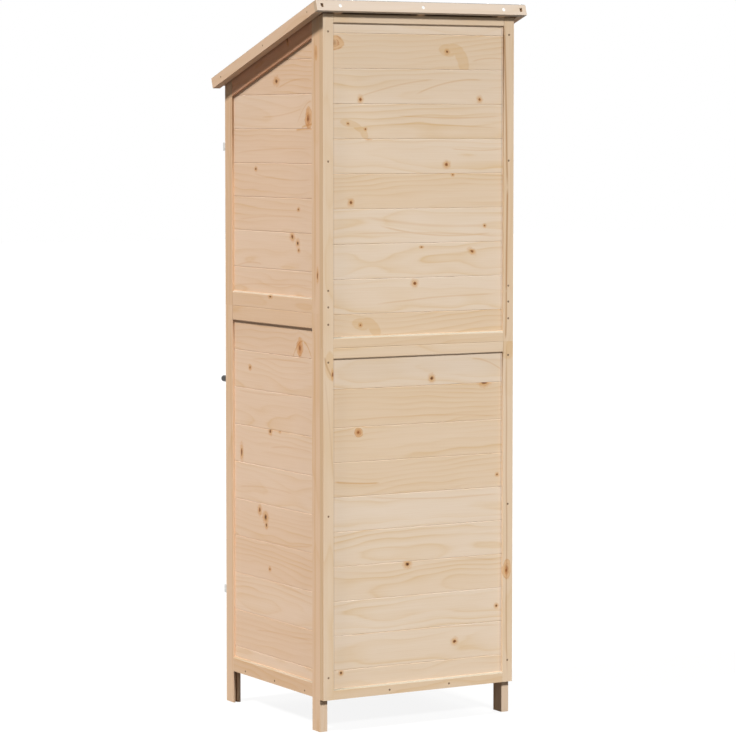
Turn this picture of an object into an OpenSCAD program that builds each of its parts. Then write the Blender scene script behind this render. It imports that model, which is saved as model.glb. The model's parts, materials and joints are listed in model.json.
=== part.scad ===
// Tall, narrow garden shed of untreated pine with a pent roof and one side-hung door.
// +Z is up, the door is at -Y, the tall rear wall at +Y. Lengths are in millimetres.

/* [Body] */
// Outside width of the body
body_w = 534; // [440:1:640]
// Depth from the front edges of the side walls to the outer face of the rear wall
body_d = 498; // [420:1:600]
// Height of the joint between the lower and upper side walls
side_joint_z = 1001; // [900:1:1080]
// Height of the joint between the lower and upper rear walls
rear_joint_z = 920; // [860:1:980]
// Height of the lower edge of the side walls above the ground
side_bottom_z = 80; // [60:1:110]
// Height of the lower edge of the rear wall above the ground
rear_bottom_z = 78; // [60:1:110]

/* [Side walls] */
// Width of a side stile, seen from the side
stile_w = 37; // [30:1:50]
// Thickness of a side wall's stiles and rails
stile_t = 20; // [18:0.5:28]
// Height of the side walls' level rails
side_rail_h = 37; // [30:1:50]
// Height of the sloping top rail, square to the slope
slope_rail_h = 54; // [44:1:70]
// Width of the chamfer on the upper outer edges of the walls' bottom rails
rail_chamfer = 4; // [0.5:0.5:5]
// Cover height of a board in the lower side walls
side_lower_pitch = 93.25; // [80:0.25:110]
// Height of the lowest board joint above the lower edge of the side walls
side_lower_first = 65.5; // [50:0.5:90]
// Cover height of a board in the upper side walls
side_upper_pitch = 83; // [70:0.5:100]
// Height of the lowest board joint above the side joint
side_upper_first = 98; // [60:0.5:110]
// Cover height of the one wider board above that joint
side_wide_board = 91; // [70:0.5:110]

/* [Rear wall] */
// Thickness of the rear wall's stiles and rails
rear_t = 17; // [15:0.5:26]
// Width of a rear stile
rear_stile_w = 28; // [22:1:44]
// Height of the rear wall's rails
rear_rail_h = 26; // [20:1:36]
// Height of the part of the top rail that is above the boards
rear_top_rail_h = 21; // [18:1:40]
// Cover height of a board in the rear wall
rear_pitch = 83.2; // [70:0.1:100]
// Height of the lowest board joint above the lower edge of the rear wall
rear_lower_first = 69; // [50:0.5:90]
// Cover height of the one wider board at the top of the lower rear wall
rear_wide_board = 91.5; // [70:0.5:110]
// Height of the lowest board joint above the rear joint
rear_upper_first = 79; // [50:0.5:95]

/* [Boards] */
// Thickness of a wall board
board_t = 6; // [5:0.5:8]
// How far a board lies behind the face of its frame
board_recess = 5.5; // [3:0.5:7]
// Depth of the grooves that house the boards' ends
groove_d = 8; // [5:0.5:10]
// Width of the bevel along a board's upper edge
bevel = 1.6; // [0.8:0.1:1.8]
// Thickness of a board's tongue
tongue_t = 2; // [1.4:0.1:2.4]
// Length of a board's tongue
tongue_l = 4; // [3:0.5:6]
// Gap between one board and the next, and round a tongue
joint_gap = 0.4; // [0.3:0.05:0.8]

/* [Roof] */
// Height of the roof frame's upper rear edge above the ground
shed_h = 1740; // [1640:1:1840]
// Slope of the roof in degrees
roof_slope = 18.2; // [12:0.1:24]
// Gap between the side walls and the roof's side fascias
roof_gap = 5.5; // [2:0.5:40]
// Distance of the roof's upper front edge in front of the side walls
front_overhang = 24.9; // [23:0.1:80]
// Distance of the roof's upper rear edge behind the rear wall
rear_overhang = 11; // [8:0.5:24]
// Height of the roof frame, square to the slope
fascia_h = 26; // [24:0.5:36]
// Height of the front fascia, square to the slope
front_fascia_h = 19; // [14:0.5:22]
// Thickness of the side fascias
side_fascia_t = 20; // [14:0.5:22]
// Thickness of the rear fascia
rear_fascia_t = 12; // [8:0.5:13]
// Width of the square pockets near the ends of the rear fascia
pocket_w = 7.5; // [6:0.5:9]
// Height of these pockets
pocket_h = 9.5; // [7:0.5:12]
// Thickness of the wood behind a pocket
pocket_back = 2.5; // [2:0.5:5]
// Distance of a pocket's middle outside the inner face of the side fascia
pocket_out = 5; // [2:0.5:8]
// Thickness of the front fascia
front_fascia_t = 16; // [10:0.5:18]
// Width of a rafter
rafter_w = 20; // [16:1:26]
// Gap between the outer rafters and the side walls
rafter_gap = 9; // [3:0.5:16]
// Thickness of the roof boards
roof_board_t = 8; // [7:0.5:12]
// Thickness of the roofing felt
felt_t = 1.5; // [1:0.1:3]
// Distance of the felt's edge inside the roof's edge
felt_inset = 2; // [1:0.5:6]

/* [Floor] */
// Width and height of a floor cleat
cleat = 18; // [14:1:22]
// Thickness of the floor boards
floor_t = 8; // [6:0.5:12]

/* [Front] */
// Thickness of the door frame
door_t = 18; // [16:0.5:22]
// Width of the gap along the door's upright edges
door_gap = 3.2; // [3:0.1:5]
// Height of the door's lower edge above that of the side walls
door_lift = 4; // [2:0.5:12]
// Distance of the door's upper edge below the roof frame
door_drop = 16; // [14:1:40]
// Width of a door stile
door_stile_w = 40; // [34:1:60]
// Height of the door's upper and lower rails
door_rail_h = 40; // [34:1:60]
// Height of the door's middle rail
door_mid_h = 74; // [50:1:90]
// Thickness of the sill and the header behind the door
stop_t = 20; // [16:1:26]
// Height of the sill
sill_h = 36; // [28:1:50]
// Height of the header, down from the roof frame
header_h = 46; // [40:1:80]
// Running gap between the closed door and the pieces in front of it or behind it
door_air = 0.6; // [0.4:0.1:1.2]

/* [Hinges] */
// Height of a hinge
hinge_h = 60; // [40:1:90]
// Width of a hinge leaf
hinge_leaf_w = 16; // [12:0.5:17]
// Thickness of a hinge leaf
hinge_leaf_t = 1.4; // [1:0.1:1.4]
// Outer radius of a hinge knuckle
knuckle_r = 3.2; // [2.8:0.1:3.6]
// Radius of a hinge pin
pin_r = 1.5; // [1.2:0.1:1.7]
// Height of the head at each end of a hinge pin
pin_head_h = 1; // [0.6:0.1:2]
// Height of the lowest hinge and turn button
low_fitting_z = 283.5; // [240:0.5:330]
// Distance of the highest hinge and turn button below the door's upper edge
high_fitting_drop = 134.3; // [110:0.1:230]

/* [Latch] */
// Height of the latch
latch_z = 813; // [780:1:850]
// Radius of the latch knob and the door knob
knob_r = 8; // [6:0.5:9]
// How far the latch knob's end stands in front of the side walls
knob_reach = 31; // [26:1:36]
// Radius of the rounding at a knob's end
knob_round = 3; // [1:0.5:5]
// Length of the latch tongue from its pivot
tongue_reach = 34; // [28:1:44]
// Width of the latch tongue
tongue_w = 14; // [10:1:16]
// Thickness of the latch tongue and the turn buttons
plate_t = 2; // [1.5:0.1:3]
// Height of the door knob above the latch
door_knob_rise = 90; // [60:1:160]
// Height of a turn button
button_h = 21; // [19:0.5:28]
// How far a turn button reaches above its pivot
button_tail = 6; // [5:0.5:8]
// Distance of the thumb tab's outer face from the pivot
tab_offset = 11; // [9:0.5:13]
// Radius of the screw head that holds a turn button
turn_head_r = 3.8; // [3:0.1:4.5]
// Height of that screw head
turn_head_h = 1.8; // [1:0.1:2.5]
// How far the thumb tab of a turn button stands out
tab_reach = 15; // [8:0.5:18]
// Distance of the thumb tab inside the side wall's face
tab_inset = 2; // [1:0.5:3]

/* [Fasteners] */
// Radius of a wall screw's head
screw_head_r = 2.7; // [2.2:0.1:3.2]
// Radius of a wall screw's shank
screw_r = 1.5; // [1.2:0.1:1.8]
// Length of a wall screw
screw_l = 36; // [28:1:40]
// How far a screw's head lies below the surface
screw_sink = 0.5; // [0.2:0.1:1]
// Distance of the lowest screw above the rear wall's lower edge
screw_end = 54; // [40:1:70]
// Distance of the highest screw below the rear wall's upper edge
screw_top_end = 42; // [34:1:60]
// Heights of the screws near the joint of the two rear walls, above or below it
screw_by_joint = [-34, 56, 97, 136]; // [-50:1:160]
// Height of the lower wall's middle screw above the rear wall's lower edge
screw_mid = 441; // [380:1:480]
// Length of a floor screw
floor_screw_l = 30; // [26:1:36]
// Distances of the side walls' floor screws in front of the rear wall
floor_screw_back = [93, 245]; // [60:1:270]
// Distance of their front screw behind the front edges of the side walls
floor_screw_front = 100; // [70:1:140]
// Distance of the rear wall's floor screws from the middle
floor_screw_side = 84; // [40:1:120]
// Height of the floor screws above the cleats' lower edge
floor_screw_rise = 8.5; // [7:0.5:11]
// Radius of the bright screw heads in the rear fascia
roof_head_r = 4.3; // [3:0.1:5]
// Length of a roof screw
roof_screw_l = 34; // [26:1:40]
// Distance of the outer fascia nails from the ends of the side fascias
nail_end = 49; // [30:1:80]
// Radius of a felt nail's head
clout_r = 4; // [3:0.5:5]
// Thickness of a felt nail's head
clout_t = 0.8; // [0.6:0.1:1.2]
// Radius of a felt nail's shank
clout_shank_r = 1.1; // [0.8:0.1:1.4]
// Length of a felt nail under its head
clout_l = 8; // [6:0.5:9]
// Spacing of the felt nails
clout_pitch = 92; // [60:1:140]

/* [Hidden] */
$fn = 32;

// The origin lies on the ground, below the middle of the whole outline
roof_rise = sin(roof_slope);
roof_run = cos(roof_slope);
rear_reach = rear_overhang + fascia_h * roof_rise;
roof_front = body_d + front_overhang;
roof_len = (roof_front + rear_overhang) / roof_run;
roof_w = body_w + 2 * (roof_gap + side_fascia_t);
front_reach = max(body_d + knob_reach, roof_front);
rear_y = (front_reach - rear_reach) / 2;

side_x = body_w / 2;
inner_x = side_x - stile_t;
front_y = rear_y - body_d;
panel_y = rear_y - rear_t;
front_stile_y = front_y + stile_w;
rear_stile_y = panel_y - stile_w;
rear_clear_x = side_x - rear_stile_w;
groove_air = 0.2;
housing = groove_d - 0.6;
fit_air = 0.05;
pin_play = 0.2;
screw_play = 0.3;
rail_edge = min(rail_chamfer, board_recess - 1.5);
far = 3000;

// Height of the plane that lies a given depth below the roof frame's upper face
function roof_z(y, depth) =
    shed_h + (y - rear_y - rear_overhang) * tan(roof_slope) - depth / roof_run;

// Outer rafters, sill, door and hinge places
rafter_x = inner_x - rafter_gap - rafter_w / 2;
stop_y = front_y + door_t + door_air;
stop_back = stop_y + stop_t;
door_x = inner_x - door_gap;
door_z0 = side_bottom_z + door_lift;
door_z1 = roof_z(front_y, fascia_h) - door_drop;
hinge_x = -inner_x + door_gap / 2;
hinge_y = front_y - knuckle_r - 0.4;
high_fitting_z = door_z1 - high_fitting_drop;
hinge_heights = [low_fitting_z, (low_fitting_z + high_fitting_z) / 2, high_fitting_z];
latch_x = side_x - stile_t / 2;
button_x = side_x - tab_inset - tab_offset;
button_pivots = [for (z = [low_fitting_z, high_fitting_z]) z + button_h / 2 - button_tail];
plate_y = front_y - door_air;
pivot_r = 2;
pivot_depth = 15;
knob_stem_r = 3;
knob_stem_l = 12;
knob_wall = 4;

// Board joints, from the lowest up. The board above the last joint is never lower than this
least_board = 20;
side_lower_joints = [for (z = [side_bottom_z + side_lower_first : side_lower_pitch
    : side_joint_z - side_rail_h - least_board]) z];
side_upper_base = side_joint_z + side_upper_first;
side_upper_joints = concat([side_upper_base], [for (z = [side_upper_base + side_wide_board
    : side_upper_pitch : roof_z(panel_y, roof_board_t + slope_rail_h) - least_board]) z]);
rear_lower_top = rear_joint_z - rear_rail_h;
rear_lower_run = floor((rear_lower_top - rear_wide_board + least_board - rear_bottom_z
    - rear_lower_first) / rear_pitch);
rear_lower_joints = concat([for (i = [0 : rear_lower_run - 1])
    rear_bottom_z + rear_lower_first + i * rear_pitch],
    [rear_bottom_z + rear_lower_first + (rear_lower_run - 1) * rear_pitch + rear_wide_board]);
rear_top_z = roof_z(rear_y, fascia_h);
rear_boards_top = rear_top_z - rear_top_rail_h;
rear_upper_joints = [for (z = [rear_joint_z + rear_upper_first : rear_pitch
    : rear_boards_top - least_board]) z];

// Heights of the screws that hold the rear wall to the side walls
screw_low = rear_bottom_z + screw_end;
screw_top = rear_top_z - screw_top_end;
screws_by_joint = [for (rise = screw_by_joint) rear_joint_z + rise];
screw_heights = concat([screw_low, rear_bottom_z + screw_mid], screws_by_joint,
    [(screws_by_joint[3] + screw_top) / 2, screw_top]);
screw_x = side_x - rear_stile_w / 2;
floor_screw_z = side_bottom_z + floor_screw_rise;
floor_screw_y = concat([for (back = floor_screw_back) rear_y - back],
    [front_y + floor_screw_front]);
floor_screw_x = [floor_screw_side, -floor_screw_side];

pine = [0.87, 0.76, 0.62];
pine_pale = [0.91, 0.83, 0.71];
pine_board = [0.88, 0.78, 0.65];
felt_grey = [0.27, 0.29, 0.29];
zinc = [0.78, 0.78, 0.76];
black = [0.06, 0.06, 0.06];

// Helpers

// A plate with an outline in Y and Z, between two X planes
module yz_plate(x0, x1, outline) {
    translate([x0, 0, 0])
        rotate([90, 0, 90])
            linear_extrude(x1 - x0)
                polygon(outline);
}

// A box between two corners
module box(low, high) {
    translate(low)
        cube(high - low);
}

// Cuts a chamfer of a given width along the middle of a long edge that lies along X
module chamfer_cut(width, length) {
    side = width * sqrt(2);
    rotate([45, 0, 0])
        cube([length, side, side], center = true);
}

// Outline of one board: u runs inwards from its outer face, v runs up
function board_outline(v0, v1, thick, tongue, groove) =
    let (mid = thick / 2, half = tongue_t / 2, slot = half + joint_gap, low = v0 + joint_gap)
    concat(
        [[0, low], [0, v1 - bevel], [bevel, v1]],
        tongue ? [[mid - half, v1], [mid - half, v1 + tongue_l],
            [mid + half, v1 + tongue_l], [mid + half, v1]] : [],
        [[thick, v1], [thick, low]],
        groove ? [[mid + slot, low], [mid + slot, low + tongue_l],
            [mid - slot, low + tongue_l], [mid - slot, low]] : []);

// Edges of all boards from the lower to the upper end of a field
function edges(low, joints, high) = concat([low], joints, [high]);

// Boards whose outer faces look to -Y, stacked up Z from y = 0 and running between two X planes
module board_stack(x0, x1, cuts, thick) {
    last = len(cuts) - 2;
    for (i = [0 : last])
        yz_plate(x0, x1, board_outline(cuts[i], cuts[i + 1], thick, i < last, i > 0));
}

// A countersunk screw along -Z with its head just below z = 0
module screw(length, head_r, shank_r) {
    head_h = head_r - shank_r;
    translate([0, 0, -screw_sink - head_h])
        cylinder(h = head_h, r1 = shank_r, r2 = head_r);
    translate([0, 0, -length])
        cylinder(h = length - screw_sink - head_h + 0.01, r = shank_r);
}

// The hole for such a screw
module screw_hole(length, head_r, shank_r) {
    head_h = head_r - shank_r;
    translate([0, 0, -screw_sink - head_h])
        cylinder(h = head_h, r1 = shank_r + fit_air, r2 = head_r + fit_air);
    translate([0, 0, -screw_sink - 0.001])
        cylinder(h = screw_sink + 1, r = head_r + fit_air);
    translate([0, 0, -length - 0.3])
        cylinder(h = length, r = shank_r + fit_air);
}

// Puts a right-hand piece on the right or the left
module on_side(side) {
    if (side == "right")
        children();
    else
        mirror([1, 0, 0])
            children();
}

// Side walls, drawn for the right-hand side

// The groove that holds the boards' ends, along one edge of a stile
module stile_groove(y0, y1) {
    outer = side_x - board_recess + groove_air;
    box([outer - board_t - 2 * groove_air, y0, -1], [outer, y1, far]);
}

module rear_screw_holes() {
    for (z = screw_heights)
        translate([screw_x, rear_y, z])
            rotate([-90, 0, 0])
                screw_hole(screw_l, screw_head_r, screw_r);
}

module floor_screw_places() {
    for (y = floor_screw_y)
        translate([side_x, y, floor_screw_z])
            rotate([0, 90, 0])
                children();
}

module side_stile(y0, y1, z0, top0, top1, groove_y0) {
    difference() {
        yz_plate(inner_x, side_x, [[y0, z0], [y1, z0], [y1, top1], [y0, top0]]);
        stile_groove(groove_y0, groove_y0 + groove_d + 1);
        rear_screw_holes();
    }
}

// Holes in the front stiles: for the latch and turn buttons on the right, for hinges on the left
module front_holes(side) {
    if (side == "right") {
        fitting_pivots()
            translate([0, 0, -pivot_depth - 0.3])
                cylinder(h = pivot_depth + 1, r = pivot_r + fit_air);
    } else {
        mirror([1, 0, 0])
            hinge_screws(-1)
                screw_hole(hinge_screw_l, hinge_head_r, hinge_screw_r);
    }
}

module lower_front_stile(side) {
    color(pine)
        difference() {
            side_stile(front_y, front_stile_y, 0, side_joint_z, side_joint_z,
                front_stile_y - groove_d);
            front_holes(side);
        }
}

module lower_rear_stile() {
    color(pine)
        side_stile(rear_stile_y, panel_y, 0, side_joint_z, side_joint_z, rear_stile_y - 1);
}

module upper_front_stile(side) {
    color(pine)
        difference() {
            side_stile(front_y, front_stile_y, side_joint_z, roof_z(front_y, roof_board_t),
                roof_z(front_stile_y, roof_board_t), front_stile_y - groove_d);
            front_holes(side);
        }
}

module upper_rear_stile() {
    color(pine)
        side_stile(rear_stile_y, panel_y, side_joint_z, roof_z(rear_stile_y, roof_board_t),
            roof_z(panel_y, roof_board_t), rear_stile_y - 1);
}

// A level rail with a groove along its upper or lower edge
module side_rail(z0, groove_z) {
    outer = side_x - board_recess + groove_air;
    color(pine)
        difference() {
            box([inner_x, front_stile_y, z0], [side_x, rear_stile_y, z0 + side_rail_h]);
            box([outer - board_t - 2 * groove_air, front_stile_y - 1, groove_z],
                [outer, rear_stile_y + 1, groove_z + groove_d + 1]);
            if (groove_z > z0)
                translate([side_x, 0, z0 + side_rail_h])
                    rotate([0, 0, 90])
                        chamfer_cut(rail_edge, 2 * body_d);
            floor_screw_places()
                screw_hole(floor_screw_l, screw_head_r, screw_r);
        }
}

module lower_bottom_rail() {
    side_rail(side_bottom_z, side_bottom_z + side_rail_h - groove_d);
}

module lower_top_rail() {
    side_rail(side_joint_z - side_rail_h, side_joint_z - side_rail_h - 1);
}

module upper_bottom_rail() {
    side_rail(side_joint_z, side_joint_z + side_rail_h - groove_d);
}

module upper_top_rail() {
    outer = side_x - board_recess + groove_air;
    low = roof_board_t + slope_rail_h;
    color(pine)
        difference() {
            yz_plate(inner_x, side_x, [
                [front_stile_y, roof_z(front_stile_y, low)],
                [rear_stile_y, roof_z(rear_stile_y, low)],
                [rear_stile_y, roof_z(rear_stile_y, roof_board_t)],
                [front_stile_y, roof_z(front_stile_y, roof_board_t)]
            ]);
            yz_plate(outer - board_t - 2 * groove_air, outer, [
                [front_stile_y - 1, roof_z(front_stile_y - 1, low + 1)],
                [rear_stile_y + 1, roof_z(rear_stile_y + 1, low + 1)],
                [rear_stile_y + 1, roof_z(rear_stile_y + 1, low - groove_d)],
                [front_stile_y - 1, roof_z(front_stile_y - 1, low - groove_d)]
            ]);
        }
}

// The boards of a side wall, with their outer faces to +X
module side_boards(cuts) {
    y0 = front_stile_y - housing;
    y1 = rear_stile_y + housing;
    translate([side_x - board_recess, 0, 0])
        rotate([0, 0, 90])
            board_stack(y0, y1, cuts, board_t);
}

module lower_boards() {
    color(pine_board)
        side_boards(edges(side_bottom_z + side_rail_h - housing, side_lower_joints,
            side_joint_z - side_rail_h + housing));
}

module upper_boards() {
    top = roof_board_t + slope_rail_h - housing;
    y0 = front_stile_y - groove_d;
    y1 = rear_stile_y + groove_d;
    z0 = side_joint_z + side_rail_h - groove_d;
    color(pine_board)
        intersection() {
            side_boards(edges(side_joint_z + side_rail_h - housing, side_upper_joints,
                roof_z(y1, 0)));
            yz_plate(inner_x, side_x, [[y0, z0], [y1, z0], [y1, roof_z(y1, top)],
                [y0, roof_z(y0, top)]]);
        }
}

// Rear wall

module rear_groove(x0, x1, z0, z1) {
    outer = rear_y - board_recess + groove_air;
    box([x0, outer - board_t - 2 * groove_air, z0], [x1, outer, z1]);
}

// A pair of rear stiles between two heights, the upper end cut to the roof's slope if it is open
module rear_stiles(z0, z1) {
    color(pine)
        for (side = ["right", "left"])
            on_side(side)
                difference() {
                    yz_plate(rear_clear_x, side_x, [[panel_y, z0], [rear_y, z0],
                        [rear_y, min(z1, roof_z(rear_y, fascia_h))],
                        [panel_y, min(z1, roof_z(panel_y, fascia_h))]]);
                    rear_groove(rear_clear_x - 1, rear_clear_x + groove_d, -1, far);
                    rear_screw_holes();
                }
}

module rear_rail(z0, z1, groove_z) {
    color(pine)
        difference() {
            yz_plate(-rear_clear_x, rear_clear_x, [[panel_y, z0], [rear_y, z0],
                [rear_y, min(z1, roof_z(rear_y, fascia_h))],
                [panel_y, min(z1, roof_z(panel_y, fascia_h))]]);
            rear_groove(-side_x, side_x, groove_z, groove_z + groove_d + 1);
            if (groove_z > z0)
                translate([0, rear_y, z1])
                    chamfer_cut(rail_edge, body_w);
            floor_rear_screws()
                screw_hole(floor_screw_l, screw_head_r, screw_r);
        }
}

module floor_rear_screws() {
    for (x = floor_screw_x)
        translate([x, rear_y, floor_screw_z])
            rotate([-90, 0, 0])
                children();
}

module rear_boards(cuts) {
    x = rear_clear_x + housing;
    color(pine_board)
        translate([0, rear_y - board_recess, 0])
            rotate([0, 0, 180])
                board_stack(-x, x, cuts, board_t);
}

module rear_lower_stiles() {
    rear_stiles(rear_bottom_z, rear_joint_z);
}

module rear_upper_stiles() {
    rear_stiles(rear_joint_z, far);
}

module rear_lower_bottom_rail() {
    top = rear_bottom_z + rear_rail_h;
    rear_rail(rear_bottom_z, top, top - groove_d);
}

module rear_lower_top_rail() {
    rear_rail(rear_lower_top, rear_joint_z, rear_lower_top - 1);
}

module rear_upper_bottom_rail() {
    top = rear_joint_z + rear_rail_h;
    rear_rail(rear_joint_z, top, top - groove_d);
}

module rear_upper_top_rail() {
    rear_rail(rear_boards_top, far, rear_boards_top - 1);
}

module rear_lower_boards() {
    rear_boards(edges(rear_bottom_z + rear_rail_h - housing, rear_lower_joints,
        rear_lower_top + housing));
}

module rear_upper_boards() {
    rear_boards(edges(rear_joint_z + rear_rail_h - housing, rear_upper_joints,
        rear_boards_top + housing));
}

// Front sill and header, which the door closes against

module front_sill() {
    color(pine)
        box([-inner_x, stop_y, side_bottom_z], [inner_x, stop_back, side_bottom_z + sill_h]);
}

module front_header() {
    low = roof_z(stop_y, fascia_h) - header_h;
    color(pine)
        yz_plate(-inner_x, inner_x, [[stop_y, low], [stop_back, low],
            [stop_back, roof_z(stop_back, fascia_h)], [stop_y, roof_z(stop_y, fascia_h)]]);
}

// Floor

module floor_cleats() {
    z0 = side_bottom_z;
    z1 = side_bottom_z + cleat;
    in_x = inner_x - cleat;
    cross_x = in_x - joint_gap;
    color(pine)
        difference() {
            union() {
                for (side = ["right", "left"])
                    on_side(side)
                        box([in_x, stop_back, z0], [inner_x, panel_y, z1]);
                box([-cross_x, panel_y - cleat, z0], [cross_x, panel_y, z1]);
                box([-cross_x, stop_back, z0], [cross_x, stop_back + cleat, z1]);
                box([-cleat / 2, stop_back + cleat + joint_gap, z0],
                    [cleat / 2, panel_y - cleat - joint_gap, z1]);
            }
            for (side = ["right", "left"])
                on_side(side)
                    floor_screw_places()
                        screw_hole(floor_screw_l, screw_head_r, screw_r);
            floor_rear_screws()
                screw_hole(floor_screw_l, screw_head_r, screw_r);
        }
}

module floor_boards() {
    z0 = side_bottom_z + cleat;
    y0 = stop_back + joint_gap;
    y1 = panel_y - joint_gap;
    x = inner_x - joint_gap;
    count = round((y1 - y0) / side_lower_pitch);
    step = (y1 - y0) / count;
    color(pine_board)
        translate([0, 0, z0 + floor_t])
            rotate([-90, 0, 0])
                board_stack(-x, x, [for (i = [0 : count]) y0 + i * step], floor_t);
}

// Roof, drawn level with its upper rear edge along X at the origin

module on_roof() {
    translate([0, rear_y + rear_overhang, shed_h])
        rotate([roof_slope, 0, 0])
            children();
}

// Places of the side fascia's nails along the slope
function nail_places() = [-nail_end, -roof_len / 2, nail_end - roof_len];

module fascia_nail_places() {
    for (y = nail_places())
        translate([roof_w / 2, y, -fascia_h / 2])
            rotate([0, 90, 0])
                children();
}

module side_fascia() {
    color(pine_pale)
        on_roof()
            difference() {
                box([roof_w / 2 - side_fascia_t, -roof_len, -fascia_h],
                    [roof_w / 2, -rear_fascia_t, 0]);
                felt_nail_holes();
                fascia_nail_places()
                    screw_hole(side_fascia_t - 2, screw_head_r - 0.5, screw_r - 0.3);
            }
}

module rear_screw_places() {
    for (x = [-rafter_x, 0, rafter_x])
        translate([x, 0, -fascia_h / 2])
            rotate([-90, 0, 0])
                children();
}

// Small square pockets near the ends of the rear fascia, where it is pinned to the side fascias
module roof_rear_fascia() {
    pocket_x = roof_w / 2 - side_fascia_t + pocket_out;
    depth = rear_fascia_t - pocket_back;
    color(pine_pale)
        on_roof()
            difference() {
                box([-roof_w / 2, -rear_fascia_t, -fascia_h], [roof_w / 2, 0, 0]);
                for (x = [-pocket_x, pocket_x])
                    translate([x - pocket_w / 2, -depth, -fascia_h / 2 - pocket_h / 2])
                        cube([pocket_w, depth + 1, pocket_h]);
                felt_nail_holes();
                rear_screw_places()
                    screw_hole(roof_screw_l, roof_head_r, screw_r + 0.3);
            }
}

module roof_front_fascia() {
    x = roof_w / 2 - side_fascia_t;
    color(pine_pale)
        on_roof()
            difference() {
                box([-x, -roof_len, -front_fascia_h], [x, -roof_len + front_fascia_t, 0]);
                felt_nail_holes();
            }
}

module roof_rafters() {
    color(pine)
        on_roof()
            difference() {
                for (x = [-rafter_x, 0, rafter_x])
                    box([x - rafter_w / 2, -roof_len + front_fascia_t, -fascia_h],
                        [x + rafter_w / 2, -rear_fascia_t, -roof_board_t]);
                rear_screw_places()
                    screw_hole(roof_screw_l, roof_head_r, screw_r + 0.3);
            }
}

module roof_boards() {
    x = roof_w / 2 - side_fascia_t - joint_gap;
    y0 = -roof_len + front_fascia_t + joint_gap;
    y1 = -rear_fascia_t - joint_gap;
    count = round((y1 - y0) / side_lower_pitch);
    step = (y1 - y0) / count;
    color(pine_board)
        on_roof()
            translate([0, 0, -roof_board_t])
                rotate([90, 0, 0])
                    board_stack(-x, x, [for (i = [0 : count]) -y1 + i * step], roof_board_t);
}

// Places of the felt's nails, with +Z out of the roof and z = 0 on the felt
module felt_nail_places() {
    x = roof_w / 2 - side_fascia_t / 2;
    y0 = side_fascia_t / 2 - roof_len;
    y1 = -rear_fascia_t / 2;
    across = floor(2 * x / clout_pitch);
    along = floor((y1 - y0) / clout_pitch);
    for (i = [0 : across], y = [y0, y1])
        translate([-x + i * 2 * x / across, y, felt_t])
            children();
    for (i = [1 : along - 1], side = [-1, 1])
        translate([side * x, y0 + i * (y1 - y0) / along, felt_t])
            children();
}

module felt_nail_holes() {
    felt_nail_places()
        translate([0, 0, -clout_l - 0.3])
            cylinder(h = clout_l + 1, r = clout_shank_r + fit_air);
}

module roof_felt() {
    x = roof_w / 2 - felt_inset;
    color(felt_grey)
        on_roof()
            difference() {
                box([-x, felt_inset - roof_len, 0], [x, -felt_inset, felt_t]);
                felt_nail_holes();
            }
}

module felt_nails() {
    color(zinc)
        on_roof()
            felt_nail_places() {
                cylinder(h = clout_t, r = clout_r);
                translate([0, 0, -clout_l])
                    cylinder(h = clout_l + 0.01, r = clout_shank_r);
            }
}

// Fasteners

module wall_screws() {
    color(zinc)
        for (side = ["right", "left"], z = screw_heights)
            on_side(side)
                translate([screw_x, rear_y, z])
                    rotate([-90, 0, 0])
                        screw(screw_l, screw_head_r, screw_r);
}

module floor_screws() {
    color(zinc) {
        for (side = ["right", "left"])
            on_side(side)
                floor_screw_places()
                    screw(floor_screw_l, screw_head_r, screw_r);
        floor_rear_screws()
            screw(floor_screw_l, screw_head_r, screw_r);
    }
}

module roof_screws() {
    color(zinc)
        on_roof() {
            rear_screw_places()
                screw(roof_screw_l, roof_head_r, screw_r + 0.3);
            for (side = ["right", "left"])
                on_side(side)
                    fascia_nail_places()
                        screw(side_fascia_t - 2, screw_head_r - 0.5, screw_r - 0.3);
        }
}

// Door

door_low_field = [door_z0 + door_rail_h, side_joint_z - door_mid_h / 2];
door_high_field = [side_joint_z + door_mid_h / 2, door_z1 - door_rail_h];
door_clear_x = door_x - door_stile_w;

module door_groove(x0, x1, z0, z1) {
    outer = front_y + board_recess - groove_air;
    box([x0, outer, z0], [x1, outer + board_t + 2 * groove_air, z1]);
}

// A door stile on the right, with its groove facing the middle
module door_stile() {
    difference() {
        box([door_clear_x, front_y, door_z0], [door_x, front_y + door_t, door_z1]);
        door_groove(door_clear_x - 1, door_clear_x + groove_d, 0, far);
    }
}

module door_latch_stile() {
    color(pine)
        difference() {
            door_stile();
            translate([door_x - door_stile_w / 2, front_y, latch_z + door_knob_rise])
                rotate([90, 0, 0])
                    translate([0, 0, -knob_stem_l - 0.3])
                        cylinder(h = knob_stem_l + 1, r = knob_stem_r + fit_air);
        }
}

module door_hinge_stile() {
    color(pine)
        difference() {
            mirror([1, 0, 0])
                door_stile();
            hinge_screws(1)
                screw_hole(hinge_screw_l, hinge_head_r, hinge_screw_r);
        }
}

module door_rail(z0, z1, grooves) {
    color(pine)
        difference() {
            box([-door_clear_x, front_y, z0], [door_clear_x, front_y + door_t, z1]);
            for (g = grooves)
                door_groove(-door_x, door_x, g, g + groove_d + 1);
        }
}

module door_bottom_rail() {
    door_rail(door_z0, door_low_field[0], [door_low_field[0] - groove_d]);
}

module door_middle_rail() {
    door_rail(door_low_field[1], door_high_field[0],
        [door_low_field[1] - 1, door_high_field[0] - groove_d]);
}

module door_top_rail() {
    door_rail(door_high_field[1], door_z1, [door_high_field[1] - 1]);
}

// The door's boards, in two fields of equal boards
module door_boards() {
    x = door_clear_x + housing;
    color(pine_board)
        for (field = [door_low_field, door_high_field]) {
            low = field[0] - housing;
            high = field[1] + housing;
            count = round((high - low) / side_lower_pitch);
            translate([0, front_y + board_recess, 0])
                board_stack(-x, x, [for (i = [0 : count]) low + i * (high - low) / count],
                    board_t);
        }
}

// Hinges

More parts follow.
